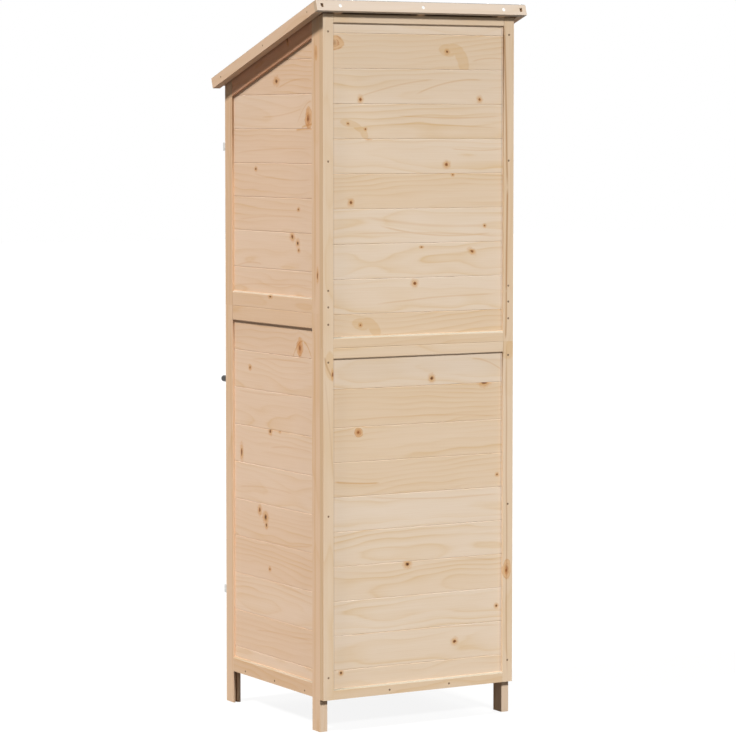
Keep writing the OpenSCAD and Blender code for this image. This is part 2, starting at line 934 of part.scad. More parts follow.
hinge_screw_l = 15;
hinge_screw_r = 1.3;
hinge_head_r = 2.2;
knuckle_gap = 0.3;
knuckle_count = 5;
knuckle_h = (hinge_h - (knuckle_count - 1) * knuckle_gap) / knuckle_count;

// Screws of one leaf of each hinge: side is -1 for the frame's leaf and 1 for the door's leaf
module hinge_screws(side) {
    for (z = hinge_heights, dz = [-hinge_h / 3, hinge_h / 3])
        translate([hinge_x + side * (door_gap / 2 - hinge_leaf_t),
            front_y + hinge_leaf_w / 2, z + dz])
            rotate([0, -90 * side, 0])
                children();
}

// One leaf of each hinge: side is -1 for the frame's leaf and 1 for the door's leaf
module hinge_leaves(side) {
    color(zinc)
        difference() {
            union() {
                for (z = hinge_heights) {
                    base = z - hinge_h / 2;
                    face = hinge_x + side * door_gap / 2;
                    edge = face - side * hinge_leaf_t;
                    box([min(face, edge), front_y, base],
                        [max(face, edge), front_y + hinge_leaf_w, base + hinge_h]);
                    for (i = [side < 0 ? 0 : 1 : 2 : knuckle_count - 1])
                        translate([0, 0, base + i * (knuckle_h + knuckle_gap)]) {
                            translate([hinge_x, hinge_y, 0])
                                cylinder(h = knuckle_h, r = knuckle_r);
                            box([min(face, edge), hinge_y, 0],
                                [max(face, edge), front_y + 1, knuckle_h]);
                        }
                }
            }
            translate([hinge_x, hinge_y, 0])
                cylinder(h = far, r = pin_r + fit_air);
            hinge_screws(side)
                screw_hole(hinge_screw_l, hinge_head_r, hinge_screw_r);
        }
}

module hinge_pins() {
    below = pin_play + pin_head_h;
    length = hinge_h + 2 * below;
    color(zinc)
        for (z = hinge_heights)
            translate([hinge_x, hinge_y, z - hinge_h / 2 - below]) {
                cylinder(h = length, r = pin_r);
                for (end = [0, length - pin_head_h])
                    translate([0, 0, end])
                        cylinder(h = pin_head_h, r = pin_r + pin_head_h);
            }
}

module hinge_frame_screws() {
    color(zinc)
        hinge_screws(-1)
            screw(hinge_screw_l, hinge_head_r, hinge_screw_r);
}

module hinge_door_screws() {
    color(zinc)
        hinge_screws(1)
            screw(hinge_screw_l, hinge_head_r, hinge_screw_r);
}

// Latch and turn buttons

// The pivots of the latch and the turn buttons, with +Z pointing out of the front
module fitting_pivots() {
    for (p = concat([[latch_x, latch_z]], [for (z = button_pivots) [button_x, z]]))
        translate([p[0], front_y, p[1]])
            rotate([90, 0, 0])
                children();
}

// Outline of a knob of a given length, with a rounded end and room for a bolt of radius r
function knob_outline(reach, r) = concat(
    [[r, 0], [knob_r, 0], [knob_r, reach - knob_round]],
    [for (a = [15 : 15 : 90]) [knob_r - knob_round + knob_round * cos(a),
        reach - knob_round + knob_round * sin(a)]],
    r > 0 ? [[0, reach], [0, reach - knob_wall], [r, reach - knob_wall]] : [[0, reach]]);

module latch_knob() {
    base = door_air + plate_t;
    color(black)
        translate([latch_x, front_y - base, latch_z])
            rotate([90, 0, 0])
                rotate_extrude($fn = 48)
                    polygon(knob_outline(knob_reach - base, pivot_r + fit_air));
}

module latch_tongue() {
    corner = 4;
    color(zinc)
        translate([latch_x, plate_y, latch_z])
            rotate([90, 0, 0])
                linear_extrude(plate_t)
                    difference() {
                        union() {
                            circle(r = tongue_w / 2);
                            translate([-tongue_w / 2, corner - tongue_reach])
                                square([tongue_w, tongue_reach - corner]);
                            translate([corner - tongue_w / 2, -tongue_reach])
                                square([tongue_w - 2 * corner, corner + 1]);
                            for (s = [-1, 1])
                                translate([s * (tongue_w / 2 - corner), corner - tongue_reach])
                                    circle(r = corner);
                        }
                        circle(r = pivot_r + fit_air);
                    }
}

// A stamped turn button: a plate that hangs from its screw, and a thumb tab along one edge
module turn_button(pivot_z) {
    width = side_x - tab_inset - button_x;
    lip = button_x - inner_x - 0.5;
    color(zinc)
        translate([button_x, plate_y, pivot_z])
            difference() {
                union() {
                    box([-lip, -plate_t, button_tail - button_h], [width, 0, button_tail]);
                    box([width - plate_t, door_air - tab_reach, button_tail - button_h],
                        [width, 0, button_tail]);
                }
                rotate([90, 0, 0])
                    translate([0, 0, -1])
                        cylinder(h = plate_t + 2, r = pivot_r + fit_air);
            }
}

// The bolt that the latch knob and its tongue turn on
module latch_bolt() {
    color(zinc)
        translate([latch_x, front_y, latch_z])
            rotate([90, 0, 0])
                translate([0, 0, -pivot_depth])
                    cylinder(h = pivot_depth + knob_reach - knob_wall - screw_play, r = pivot_r);
}

// The round-headed screws that the turn buttons hang on
module turn_screws() {
    shank = pivot_depth + door_air + plate_t + screw_play;
    color(zinc)
        for (z = button_pivots)
            translate([button_x, front_y, z])
                rotate([90, 0, 0])
                    translate([0, 0, -pivot_depth]) {
                        cylinder(h = shank + turn_head_h / 2, r = pivot_r);
                        translate([0, 0, shank])
                            cylinder(h = turn_head_h, r1 = turn_head_r, r2 = turn_head_r * 0.7);
                    }
}

module pivot_bolts() {
    latch_bolt();
    turn_screws();
}

module door_knob() {
    color(black)
        translate([door_x - door_stile_w / 2, front_y, latch_z + door_knob_rise])
            rotate([90, 0, 0])
                union() {
                    rotate_extrude($fn = 48)
                        polygon(knob_outline(knob_reach, 0));
                    translate([0, 0, -knob_stem_l])
                        cylinder(h = knob_stem_l + 1, r = knob_stem_r);
                }
}

on_side("right") lower_front_stile("right");  // right_lower_front_stile
on_side("right") lower_rear_stile();  // right_lower_rear_stile
on_side("right") lower_top_rail();  // right_lower_top_rail
on_side("right") lower_bottom_rail();  // right_lower_bottom_rail
on_side("right") lower_boards();  // right_lower_boards
on_side("right") upper_front_stile("right");  // right_upper_front_stile
on_side("right") upper_rear_stile();  // right_upper_rear_stile
on_side("right") upper_top_rail();  // right_upper_top_rail
on_side("right") upper_bottom_rail();  // right_upper_bottom_rail
on_side("right") upper_boards();  // right_upper_boards
on_side("left") lower_front_stile("left");  // left_lower_front_stile
on_side("left") lower_rear_stile();  // left_lower_rear_stile
on_side("left") lower_top_rail();  // left_lower_top_rail
on_side("left") lower_bottom_rail();  // left_lower_bottom_rail
on_side("left") lower_boards();  // left_lower_boards
on_side("left") upper_front_stile("left");  // left_upper_front_stile
on_side("left") upper_rear_stile();  // left_upper_rear_stile
on_side("left") upper_top_rail();  // left_upper_top_rail
on_side("left") upper_bottom_rail();  // left_upper_bottom_rail
on_side("left") upper_boards();  // left_upper_boards
rear_lower_stiles();
rear_lower_top_rail();
rear_lower_bottom_rail();
rear_lower_boards();
rear_upper_stiles();
rear_upper_top_rail();
rear_upper_bottom_rail();
rear_upper_boards();
front_sill();
front_header();
floor_cleats();
floor_boards();
on_side("right") side_fascia();  // roof_right_fascia
on_side("left") side_fascia();  // roof_left_fascia
roof_rear_fascia();
roof_front_fascia();
roof_rafters();
roof_boards();
roof_felt();
wall_screws();
floor_screws();
roof_screws();
felt_nails();
door_hinge_stile();
door_latch_stile();
door_top_rail();
door_middle_rail();
door_bottom_rail();
door_boards();
door_knob();
hinge_leaves(-1);  // hinge_frame_leaves
hinge_leaves(1);  // hinge_door_leaves
hinge_pins();
hinge_frame_screws();
hinge_door_screws();
latch_knob();
latch_tongue();
turn_button(button_pivots[1]);  // upper_turn_button
turn_button(button_pivots[0]);  // lower_turn_button
pivot_bolts();
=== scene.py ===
"""Looks of the garden shed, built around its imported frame. Lengths are in metres."""
import json
import math
import random

import bmesh
import bpy
from mathutils import Matrix, Vector


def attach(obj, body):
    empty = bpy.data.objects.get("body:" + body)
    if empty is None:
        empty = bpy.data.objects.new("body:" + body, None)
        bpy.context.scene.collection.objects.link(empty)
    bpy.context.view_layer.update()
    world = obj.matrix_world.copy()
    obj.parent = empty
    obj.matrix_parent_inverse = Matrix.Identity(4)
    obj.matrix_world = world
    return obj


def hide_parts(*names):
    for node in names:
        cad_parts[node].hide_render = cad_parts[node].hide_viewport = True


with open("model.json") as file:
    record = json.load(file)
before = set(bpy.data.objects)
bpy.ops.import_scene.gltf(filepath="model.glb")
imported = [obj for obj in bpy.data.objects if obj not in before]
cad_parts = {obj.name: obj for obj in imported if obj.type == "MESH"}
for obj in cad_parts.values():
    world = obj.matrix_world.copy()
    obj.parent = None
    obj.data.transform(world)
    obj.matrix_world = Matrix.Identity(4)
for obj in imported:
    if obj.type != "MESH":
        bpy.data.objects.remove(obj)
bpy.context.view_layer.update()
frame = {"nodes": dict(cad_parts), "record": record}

NODES = frame["nodes"]
BODY_OF = {node: body for body, nodes in frame["record"]["behaviour"]["bodies"].items() for node in nodes}

# Camera, read from the lines of the photograph. Its turn and its dip are in degrees
CAMERA_PLACE = Vector((3.8055, 6.5469, 1.4267))
CAMERA_TURN = 149.806
CAMERA_DIP = 3.690
CAMERA_SHIFT = -0.05
CAMERA_REACH = 200
SENSOR_WIDTH = 36
FOCAL_PIXELS = 3059.7
PICTURE_PIXELS = 736

# Lamps: where the light comes from, its strength and its width in degrees
LAMPS = {
    "rear lamp": (Vector((0.03, 0.79, 0.61)), 2.80, 8.0),
    "side lamp": (Vector((0.58, 0.04, 0.81)), 3.85, 10.0),
    "front lamp": (Vector((-0.55, -0.65, 0.53)), 2.3, 30.0),
}
LAMP_DISTANCE = 5
ROOM_COLOUR = (1.0, 0.70, 0.40)
ROOM_STRENGTH = 0.09
FLOOR_SIZE = 60.0
FLOOR_GREY = 0.10
FLOOR_LIFT = 0.90
WHITE = (1.0, 1.0, 1.0)

# How far the edges of each kind of piece are eased
WOOD_EASE = 0.0009
BOARD_EASE = 0.0002
RAIL_EASE = 0.0016
FASCIA_EASE = 0.0012
PLATE_EASE = 0.0003
PIN_EASE = 0.0002
KNOB_EASE = 0.0006
FELT_EASE = 0.0004
EASE_STEPS = 2
SHARP_ANGLE = math.radians(40)
SMOOTH_ANGLE = math.radians(32)
FLAT_ANGLE = math.radians(0.6)
MERGE_DISTANCE = 2e-6

# How much taller each board is made, on both sides, so that the joints are fine lines
BOARD_GROWTH = 0.00014

# Faces at the shed's corner that take painted light or shade: the axis that they look along, and the place
# on it that they lie beyond
REAR_CORNER = (0, 0.262)
LEG_CORNER = (1, 0.230)

# The painted shade on the rear boards beside their stiles: where it is darkest over x, and its width
REAR_FRAME_SHADE = 0.2355
FRAME_SHADE_WIDTH = 0.003

# Roof screws beyond this place over x are those of the side fascias
SIDE_WALL_X = 0.268
ROOF_SLOPE = math.radians(18.2)

# Colours, linear
KNOT_HEART = (0.060, 0.020, 0.010)
KNOT_RING = (0.260, 0.095, 0.035)
KNOT_EDGE = (0.590, 0.320, 0.130)
EYE_RING = (0.520, 0.215, 0.085)
END_GRAIN = (0.560, 0.370, 0.210)

# Tints, which multiply the colour below them
LATE_TINT = (0.905, 0.800, 0.600)
FIBRE_TINT = (0.930, 0.880, 0.800)
HALO_TINT = (0.840, 0.580, 0.290)
EYE_TINT = (0.930, 0.790, 0.620)
PATCH_TINT = (0.950, 0.885, 0.770)
STROKE_TINT = (0.850, 0.670, 0.430)
RESIN_TINT = (0.560, 0.340, 0.160)
# Painted shade that darkens the upward bevels and chamfers of the wooden pieces which take no other such tint
BEVEL_SHADE_TINT = (0.660, 0.760, 0.860)
# Painted highlight that lightens the upward bevels of boards, so that their joints show a pale line
BEVEL_HIGHLIGHT_TINT = (1.120, 1.150, 1.200)
# Painted shade on the outer edge faces of the rear stiles, at the shed's corner
CORNER_SHADE_TINT = (0.830, 0.735, 0.640)
# Painted light on the rear faces of the side walls' rear stiles, which are the legs
LEG_LIGHT_TINT = (1.020, 1.130, 1.250)
# Painted shade on the rear boards beside their stiles
FRAME_SHADE_TINT = (0.800, 0.780, 0.790)

# Wood: the pale and the warm colour of its planks, and how strong the late wood of its rings is.
# The rear wall is paler and cooler, and the side walls are warmer
REAR_TONES = {"pale": (0.825, 0.690, 0.555), "warm": (0.780, 0.605, 0.430), "edge_tint": BEVEL_HIGHLIGHT_TINT}
REAR_FRAME_TONES = {"pale": (0.800, 0.645, 0.485), "warm": (0.760, 0.580, 0.400), "figure": 0.6,
                    "ink": RESIN_TINT}
SIDE_TONES = {"pale": (0.800, 0.605, 0.455), "warm": (0.760, 0.540, 0.380), "figure": 0.8,
              "edge_tint": BEVEL_HIGHLIGHT_TINT}
FRAME_TONES = {"pale": (0.750, 0.535, 0.370), "warm": (0.705, 0.480, 0.310), "figure": 0.7}
# The sloping top rails are redder: partly a redder wood, partly painted warm shade for the roof's shadow over
# them
SLOPING_TONES_AND_SHADE = {"pale": (0.800, 0.455, 0.285), "warm": (0.745, 0.400, 0.235), "figure": 0.7}
FASCIA_TONES = {"pale": (0.750, 0.545, 0.395), "warm": (0.715, 0.500, 0.340), "figure": 0.5}
REAR_FASCIA_TONES = {"pale": (0.615, 0.525, 0.440), "warm": (0.585, 0.488, 0.400), "figure": 0.3}

# Steel: two tones of its spangle and the tone of its stains
ZINC_TONES = ((0.56, 0.55, 0.53), (0.72, 0.71, 0.69), (0.42, 0.40, 0.37))
BRIGHT_TONES = ((0.84, 0.84, 0.83), (0.93, 0.93, 0.92), (0.74, 0.73, 0.71))
# Dark, brown screws: partly their own dark steel, partly painted shade of the holes they sit in
DARK_SHADED_TONES = ((0.240, 0.165, 0.105), (0.320, 0.225, 0.150), (0.180, 0.115, 0.065))

# Moulded plastic and its scuffs, and the felt's grit, the ground between it, and the clouds over both
PLASTIC_TONES = ((0.014, 0.014, 0.015), (0.030, 0.030, 0.029))
FELT_TONES = ((0.115, 0.120, 0.118), (0.060, 0.064, 0.064), (0.185, 0.190, 0.185))


# Helpers for objects

def only(piece):
    """Selects one piece and nothing else."""
    bpy.ops.object.select_all(action="DESELECT")
    piece.hide_set(False)
    piece.select_set(True)
    bpy.context.view_layer.objects.active = piece


def copy_of(name, new_name):
    """A separate, merged copy of a CAD node's mesh, with flat faces joined."""
    piece = bpy.data.objects.new(new_name, NODES[name].data.copy())
    bpy.context.collection.objects.link(piece)
    piece.data.materials.clear()
    only(piece)
    bpy.ops.object.mode_set(mode="EDIT")
    bpy.ops.mesh.select_all(action="SELECT")
    bpy.ops.mesh.customdata_custom_splitnormals_clear()
    bpy.ops.mesh.remove_doubles(threshold=MERGE_DISTANCE)
    bpy.ops.mesh.dissolve_limited(angle_limit=FLAT_ANGLE)
    bpy.ops.object.mode_set(mode="OBJECT")
    return piece


def ease(piece, width, smooth=False):
    """Rounds the sharp edges of a piece, as sandpaper or a mould does. Flat faces stay flat."""
    only(piece)
    bevel = piece.modifiers.new("eased edges", "BEVEL")
    bevel.width = width
    bevel.segments = EASE_STEPS
    bevel.limit_method = "ANGLE"
    bevel.angle_limit = SHARP_ANGLE
    bpy.ops.object.modifier_apply(modifier=bevel.name)
    if smooth:
        bpy.ops.object.shade_smooth_by_angle(angle=SMOOTH_ANGLE)
        weighted = piece.modifiers.new("flat faces first", "WEIGHTED_NORMAL")
        weighted.keep_sharp = True
        bpy.ops.object.modifier_apply(modifier=weighted.name)
    else:
        bpy.ops.object.shade_flat()


def settle(piece, node):
    """Rides a piece on the body of the node it stands for, and hides that node."""
    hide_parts(node)
    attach(piece, BODY_OF[node])


def islands(mesh):
    """Groups of vertex numbers, one for each loose plank or screw in the mesh."""
    shape = bmesh.new()
    shape.from_mesh(mesh)
    shape.verts.ensure_lookup_table()
    seen, found = set(), []
    for vertex in shape.verts:
        if vertex.index in seen:
            continue
        seen.add(vertex.index)
        stack, group = [vertex], []
        while stack:
            here = stack.pop()
            group.append(here.index)
            for edge in here.link_edges:
                other = edge.other_vert(here)
                if other.index not in seen:
                    seen.add(other.index)
                    stack.append(other)
        found.append(sorted(group))
    shape.free()
    found.sort(key=lambda group: tuple(round(sum(mesh.vertices[i].co[axis] for i in group) / len(group), 4)
                                       for axis in (2, 0, 1)))
    return found


# Helpers for materials

class Nodes:
    """Adds nodes to one tree and joins them up."""

    def __init__(self, tree):
        self.tree = tree

    def add(self, kind, inputs=None, **settings):
        node = self.tree.nodes.new(kind)
        for key, value in settings.items():
            setattr(node, key, value)
        for key, value in (inputs or {}).items():
            self.put(value, node.inputs[key])
        return node

    def put(self, value, socket):
        """Links a socket to another one, or sets it to a value."""
        if isinstance(value, bpy.types.NodeSocket):
            self.tree.links.new(value, socket)
        else:
            socket.default_value = (*value, 1) if socket.type == "RGBA" else value

    def math(self, operation, *values, clamp=False):
        inputs = dict(enumerate(values))
        return self.add("ShaderNodeMath", inputs, operation=operation, use_clamp=clamp).outputs[0]

    def times(self, first, second, clamp=False):
        return self.math("MULTIPLY", first, second, clamp=clamp)

    def plus(self, value, part, share):
        """The value with a share of the part added."""
        return self.math("ADD", value, self.times(part, share))

    def vector(self, operation, *values):
        node = self.add("ShaderNodeVectorMath", dict(enumerate(values)), operation=operation)
        return node.outputs["Value" if operation in ("DOT_PRODUCT", "LENGTH") else "Vector"]

    def mix(self, factor, first, second, blend="MIX"):
        node = self.add("ShaderNodeMix", {0: factor, 6: first, 7: second}, data_type="RGBA", blend_type=blend)
        return node.outputs[2]


class Recipe(Nodes):
    """One material on the Principled shader."""

    def __init__(self, name):
        self.material = bpy.data.materials.new(name)
        self.material.use_nodes = True
        super().__init__(self.material.node_tree)
        self.shader = self.tree.nodes["Principled BSDF"]

    def place(self):
        """The place in the object, which is the place in the shed."""
        return self.add("ShaderNodeTexCoord").outputs["Object"]

    def attribute(self, name, output="Fac"):
        return self.add("ShaderNodeAttribute", attribute_name=name).outputs[output]

    def noise(self, place, waves, detail=3.0, roughness=0.5):
        """Soft noise with so many waves to the metre along each axis of the place."""
        inputs = {"Vector": self.vector("MULTIPLY", place, waves), "Scale": 1.0, "Detail": detail,
                  "Roughness": roughness}
        return self.add("ShaderNodeTexNoise", inputs).outputs[0]

    def ramp(self, value, stops):
        """A curve of greys; each stop is a place and a grey."""
        node = self.add("ShaderNodeValToRGB", {0: value})
        points = node.color_ramp.elements
        while len(points) < len(stops):
            points.new(0.5)
        for point, (place, grey) in zip(points, stops):
            point.position = place
            point.color = (grey, grey, grey, 1)
        return node.outputs[0]

    def span(self, value, low, high, out_low=0.0, out_high=1.0):
        """The range from low to high, carried over to another range."""
        inputs = {"Value": value, "From Min": low, "From Max": high, "To Min": out_low, "To Max": out_high}
        return self.add("ShaderNodeMapRange", inputs).outputs[0]

    def tint_in(self, colour, where, tint):
        """The colour with a tint multiplied in."""
        return self.mix(where, colour, tint, "MULTIPLY")

    def bump(self, height, distance, strength):
        node = self.add("ShaderNodeBump", {"Height": height, "Distance": distance, "Strength": strength})
        self.put(node.outputs[0], self.shader.inputs["Normal"])

    def finish(self, colour, roughness, **others):
        for key, value in {"Base Color": colour, "Roughness": roughness, **others}.items():
            self.put(value, self.shader.inputs[key])
        return self.material


class Group(Nodes):
    """A group of nodes that many materials share. Each socket has a name and a kind."""

    def __init__(self, name, inputs, outputs):
        super().__init__(bpy.data.node_groups.new(name, "ShaderNodeTree"))
        for sockets, side in ((inputs, "INPUT"), (outputs, "OUTPUT")):
            for socket, kind in sockets.items():
                self.tree.interface.new_socket(socket, in_out=side, socket_type=f"NodeSocket{kind}")
        self.start = self.tree.nodes.new("NodeGroupInput").outputs
        self.end = self.tree.nodes.new("NodeGroupOutput").inputs


# Marks of wood: how a knot bends the grain, and how a growth line runs

# The squared reach where no knot is near, and what keeps the push small at a knot's centre
NOTHING_NEAR = 60.0
SOFT_CENTRE = 0.55
ACROSS_GRAIN = (0.0, 1.0, 0.0)

# How sharply a growth line fades at its ends, and how far it sways
STROKE_ENDS = 12.0
STROKE_SWAY = 0.012


def blot_group():
    """One knot or patch: bends the grain round its centre and keeps how near the nearest one is."""
    inputs = dict.fromkeys(("Place", "Centre", "Long", "Wide", "Push"), "Vector")
    blot = Group("one knot", {**inputs, "Near": "Float"}, {"Push": "Vector", "Near": "Float"})
    start = blot.start
    away = blot.vector("SUBTRACT", start["Place"], start["Centre"])
    along = blot.vector("DOT_PRODUCT", away, start["Long"])
    across = blot.vector("DOT_PRODUCT", away, start["Wide"])
    squared = blot.plus(blot.times(along, along), across, across)
    fade = blot.math("DIVIDE", 1.0, blot.math("ADD", squared, SOFT_CENTRE))
    bend = blot.add("ShaderNodeVectorMath", {0: away, "Scale": fade}, operation="SCALE").outputs["Vector"]
    blot.put(blot.vector("ADD", start["Push"], bend), blot.end["Push"])
    blot.put(blot.math("MINIMUM", start["Near"], squared), blot.end["Near"])
    return blot.tree


def stroke_group():
    """One growth line: a bowed line between two places, kept if it is stronger than those before it."""
    names = ("Along", "Across", "Start", "Per Length", "From", "Rise", "Bow", "Per Width", "Force", "Most")
    line = Group("one growth line", dict.fromkeys(names, "Float"), {"Most": "Float"})
    start = line.start
    share = line.times(line.math("SUBTRACT", start["Along"], start["Start"]), start["Per Length"])
    both = line.times(share, line.math("SUBTRACT", 1.0, share))
    straight = line.plus(start["From"], start["Rise"], share)
    hump = line.times(both, 4.0)
    middle = line.plus(straight, hump, start["Bow"])
    off = line.math("ABSOLUTE", line.math("SUBTRACT", start["Across"], middle))
    body = line.math("SUBTRACT", 1.0, line.times(off, start["Per Width"]), clamp=True)
    ends = line.times(both, STROKE_ENDS, clamp=True)
    mask = line.times(line.times(body, ends), start["Force"])
    line.put(line.math("MAXIMUM", mask, start["Most"]), line.end["Most"])
    return line.tree


BLOT = blot_group()
STROKE = stroke_group()


def blots(wood, grain, places):
    """Chains the knots or patches of one piece: how they push the grain and how near they are."""
    push, near = (0.0, 0.0, 0.0), NOTHING_NEAR
    for along, across, reach_along, reach_across, tilt in places:
        turn = math.radians(tilt)
        long = (math.cos(turn) / reach_along, math.sin(turn) / reach_along, 0.0)
        wide = (-math.sin(turn) / reach_across, math.cos(turn) / reach_across, 0.0)
        inputs = {"Place": grain, "Centre": (along, across, 0.0), "Long": long, "Wide": wide, "Push": push,
                  "Near": near}
        blot = wood.add("ShaderNodeGroup", inputs, node_tree=BLOT).outputs
        push, near = blot["Push"], blot["Near"]
    return push, near


# Grain: waves to the metre along, across and through a plank
WANDER_WAVES = (2.6, 7.0, 7.0)
FINE_WAVES = (4.0, 45.0, 45.0)
UNEVEN_WAVES = (1.8, 12.0, 12.0)
CLOUD_WAVES = (2.4, 10.0, 10.0)
FIBRE_WAVES = (7.0, 620.0, 620.0)
PATCH_WAVES = (26.0, 60.0, 60.0)
SPECKLE_WAVES = (110.0, 160.0, 160.0)
HEART_WAVES = (31.0, 31.0, 31.0)
EYE_WAVES = (42.0, 55.0, 55.0)
BREAK_WAVES = (70.0, 28.0, 28.0)

# Planks stand this far apart across the grain
PLANK_STEP = 0.5

# Annual rings: how many to the metre, how far the pith lies aside and below, how they wander and
# taper, how dark they are from early to late wood, and how unevenly the late wood shows
RINGS = 105.0
PITH_ASIDE = 0.045
PITH_BELOW = (0.035, 0.085)
RING_WANDER = 0.050
RING_TAPER = 0.010
RING_WOBBLE = 0.8
LATE_WOOD = ((0.0, 0.16), (0.30, 0.10), (0.72, 0.55), (0.86, 1.0), (0.93, 0.42), (1.0, 0.16))
UNEVEN_RINGS = (0.36, 0.68, 0.12, 1.0)

# Where each mark fades, from outside to inside, as a share of its reach
PATCH_RIM = (1.42, 1.08)
HALO_RIM = (3.1, 0.9)
KNOT_RIM = (1.25, 0.70)
EYE_RIM = (1.18, 1.0)
ARC_RIM = (1.20, 0.95)
EYE_HEART = (0.50, 0.16)

# How a knot pales from its heart, with its distances halved, because a ramp ends at 1
KNOT_BODY = ((0.0, 0.0), (0.24, 0.05), (0.40, 0.60), (0.60, 1.0))
RAMP_SHARE = 0.5

# How ragged the marks are (a knot's edge is the more so the farther out), how close their rings are,
# and how much of the halo's tint its rings leave
KNOT_RAGGED = (0.0, 3.0, 0.35, 2.6)
EYE_RAGGED = 0.95
PATCH_RAGGED = 0.5
HALO_RINGS = 8.5
EYE_RINGS = 14.0
HALO_WAVES = (-1.0, 1.0, 0.55, 1.0)

# The middle of the noise, and the stretch of it, or of a wave, that takes each mark from none to all
NOISE_MIDDLE = 0.5
TONE_SPAN = (0.25, 1.0)
FIBRE_SPAN = (0.42, 0.75)
HEART_SPAN = (0.35, 0.62)
ARC_SPAN = (0.45, 1.0)
BREAK_SPAN = (0.40, 0.62)

# The share of each fine mark in the colour, in the roughness and in the relief
PLANK_SHARE = 0.6
CLOUD_SHARE = 0.7
FIBRE_SHARE = 0.45
END_SHARE = 0.62
ARC_SHARE = 0.75
HEART_SHARE = 0.40
WOOD_ROUGHNESS = 0.60
FIBRE_ROUGHNESS = 0.12
LATE_RELIEF = 0.4
FIBRE_RELIEF = 0.6

# The depth and the strength of the grain's relief, and how much the wood shines
GRAIN_RELIEF = (0.00025, 0.7)
WOOD_SPECULAR = 0.30


def late_wood(wood, bent, wander, plank, figure):
    """The rings' late wood, from the distance to the pith, which wanders along the plank."""
    along, across, through = wood.add("ShaderNodeSeparateXYZ", {0: bent}).outputs
    middle = wood.math("SUBTRACT", wood.math("PINGPONG", across, PLANK_STEP / 2), PLANK_STEP / 4)
    aside = wood.math("ADD", middle, wood.span(plank, 0.0, 1.0, -PITH_ASIDE, PITH_ASIDE))
    below = wood.math("ADD", through, wood.span(plank, 0.0, 1.0, *PITH_BELOW))
    from_pith = wood.add("ShaderNodeCombineXYZ", {0: aside, 1: below}).outputs[0]
    radius = wood.plus(wood.vector("LENGTH", from_pith), wander, RING_WANDER)
    radius = wood.plus(radius, along, RING_TAPER)
    fine = wood.noise(bent, FINE_WAVES, detail=2.0)
    phase = wood.plus(wood.times(radius, RINGS), fine, RING_WOBBLE)
    late = wood.ramp(wood.math("FRACT", phase), LATE_WOOD)
    uneven = wood.noise(bent, UNEVEN_WAVES, detail=2.0)
    return wood.times(late, wood.times(wood.span(uneven, *UNEVEN_RINGS), figure), clamp=True)


def creased(wood, colour, crease):
    """Painted shade: boards darken beside their frame, beyond this half width over x."""
    side = wood.math("ABSOLUTE", wood.add("ShaderNodeSeparateXYZ", {0: wood.place()}).outputs[0])
    return wood.tint_in(colour, wood.span(side, crease - FRAME_SHADE_WIDTH, crease), FRAME_SHADE_TINT)


def patched(wood, colour, grain, patches):
    """Patches of heartwood with a clear outline."""
    rim = wood.noise(grain, PATCH_WAVES, detail=2.0)
    inside = wood.plus(blots(wood, grain, patches)[1], rim, PATCH_RAGGED)
    return wood.tint_in(colour, wood.span(inside, *PATCH_RIM), PATCH_TINT)


def lined(wood, colour, grain, wander, strokes, ink):
    """Growth lines that stand out of the rings."""
    along, level, _ = wood.add("ShaderNodeSeparateXYZ", {0: grain}).outputs
    across, most = wood.plus(level, wood.math("SUBTRACT", wander, NOISE_MIDDLE), STROKE_SWAY), 0.0
    for a_along, a_across, b_along, b_across, bow, half, force in strokes:
        inputs = {"Along": along, "Across": across, "Start": a_along, "Per Length": 1 / (b_along - a_along),
                  "From": a_across, "Rise": b_across - a_across, "Bow": bow, "Per Width": 1 / half,
                  "Force": force, "Most": most}
        most = wood.add("ShaderNodeGroup", inputs, node_tree=STROKE).outputs["Most"]
    return wood.tint_in(colour, most, ink)


def knotted(wood, colour, grain, near):
    """Knots: a ringed halo, a brown edge and a dark heart, all of them ragged."""
    reach = wood.math("SQRT", near)
    speckle = wood.math("SUBTRACT", wood.noise(grain, SPECKLE_WAVES), NOISE_MIDDLE)
    reach = wood.plus(reach, speckle, wood.span(reach, *KNOT_RAGGED))
    waves = wood.span(wood.math("SINE", wood.times(reach, HALO_RINGS)), *HALO_WAVES)
    colour = wood.tint_in(colour, wood.times(wood.span(reach, *HALO_RIM), waves), HALO_TINT)
    dim = wood.noise(grain, HEART_WAVES, detail=0.0)
    heart = wood.mix(wood.span(dim, *HEART_SPAN), KNOT_HEART, KNOT_RING)
    body = wood.mix(wood.ramp(wood.times(reach, RAMP_SHARE), KNOT_BODY), heart, KNOT_EDGE)
    return wood.mix(wood.span(reach, *KNOT_RIM), colour, body)


def eyed(wood, colour, grain, near):
    """Large knots grown over: broken rings on a warm ground, round a small heart."""
    ragged = wood.math("SUBTRACT", wood.noise(grain, EYE_WAVES), NOISE_MIDDLE)
    reach = wood.plus(wood.math("SQRT", near), ragged, EYE_RAGGED)
    colour = wood.tint_in(colour, wood.span(reach, *EYE_RIM), EYE_TINT)
    arcs = wood.span(wood.math("SINE", wood.times(reach, EYE_RINGS)), *ARC_SPAN)
    broken = wood.span(wood.noise(grain, BREAK_WAVES, detail=1.0), *BREAK_SPAN)
    arcs = wood.times(wood.times(arcs, wood.span(reach, *ARC_RIM)), broken)
    colour = wood.mix(wood.times(arcs, ARC_SHARE), colour, EYE_RING)
    return wood.mix(wood.times(wood.span(reach, *EYE_HEART), HEART_SHARE), colour, KNOT_RING)


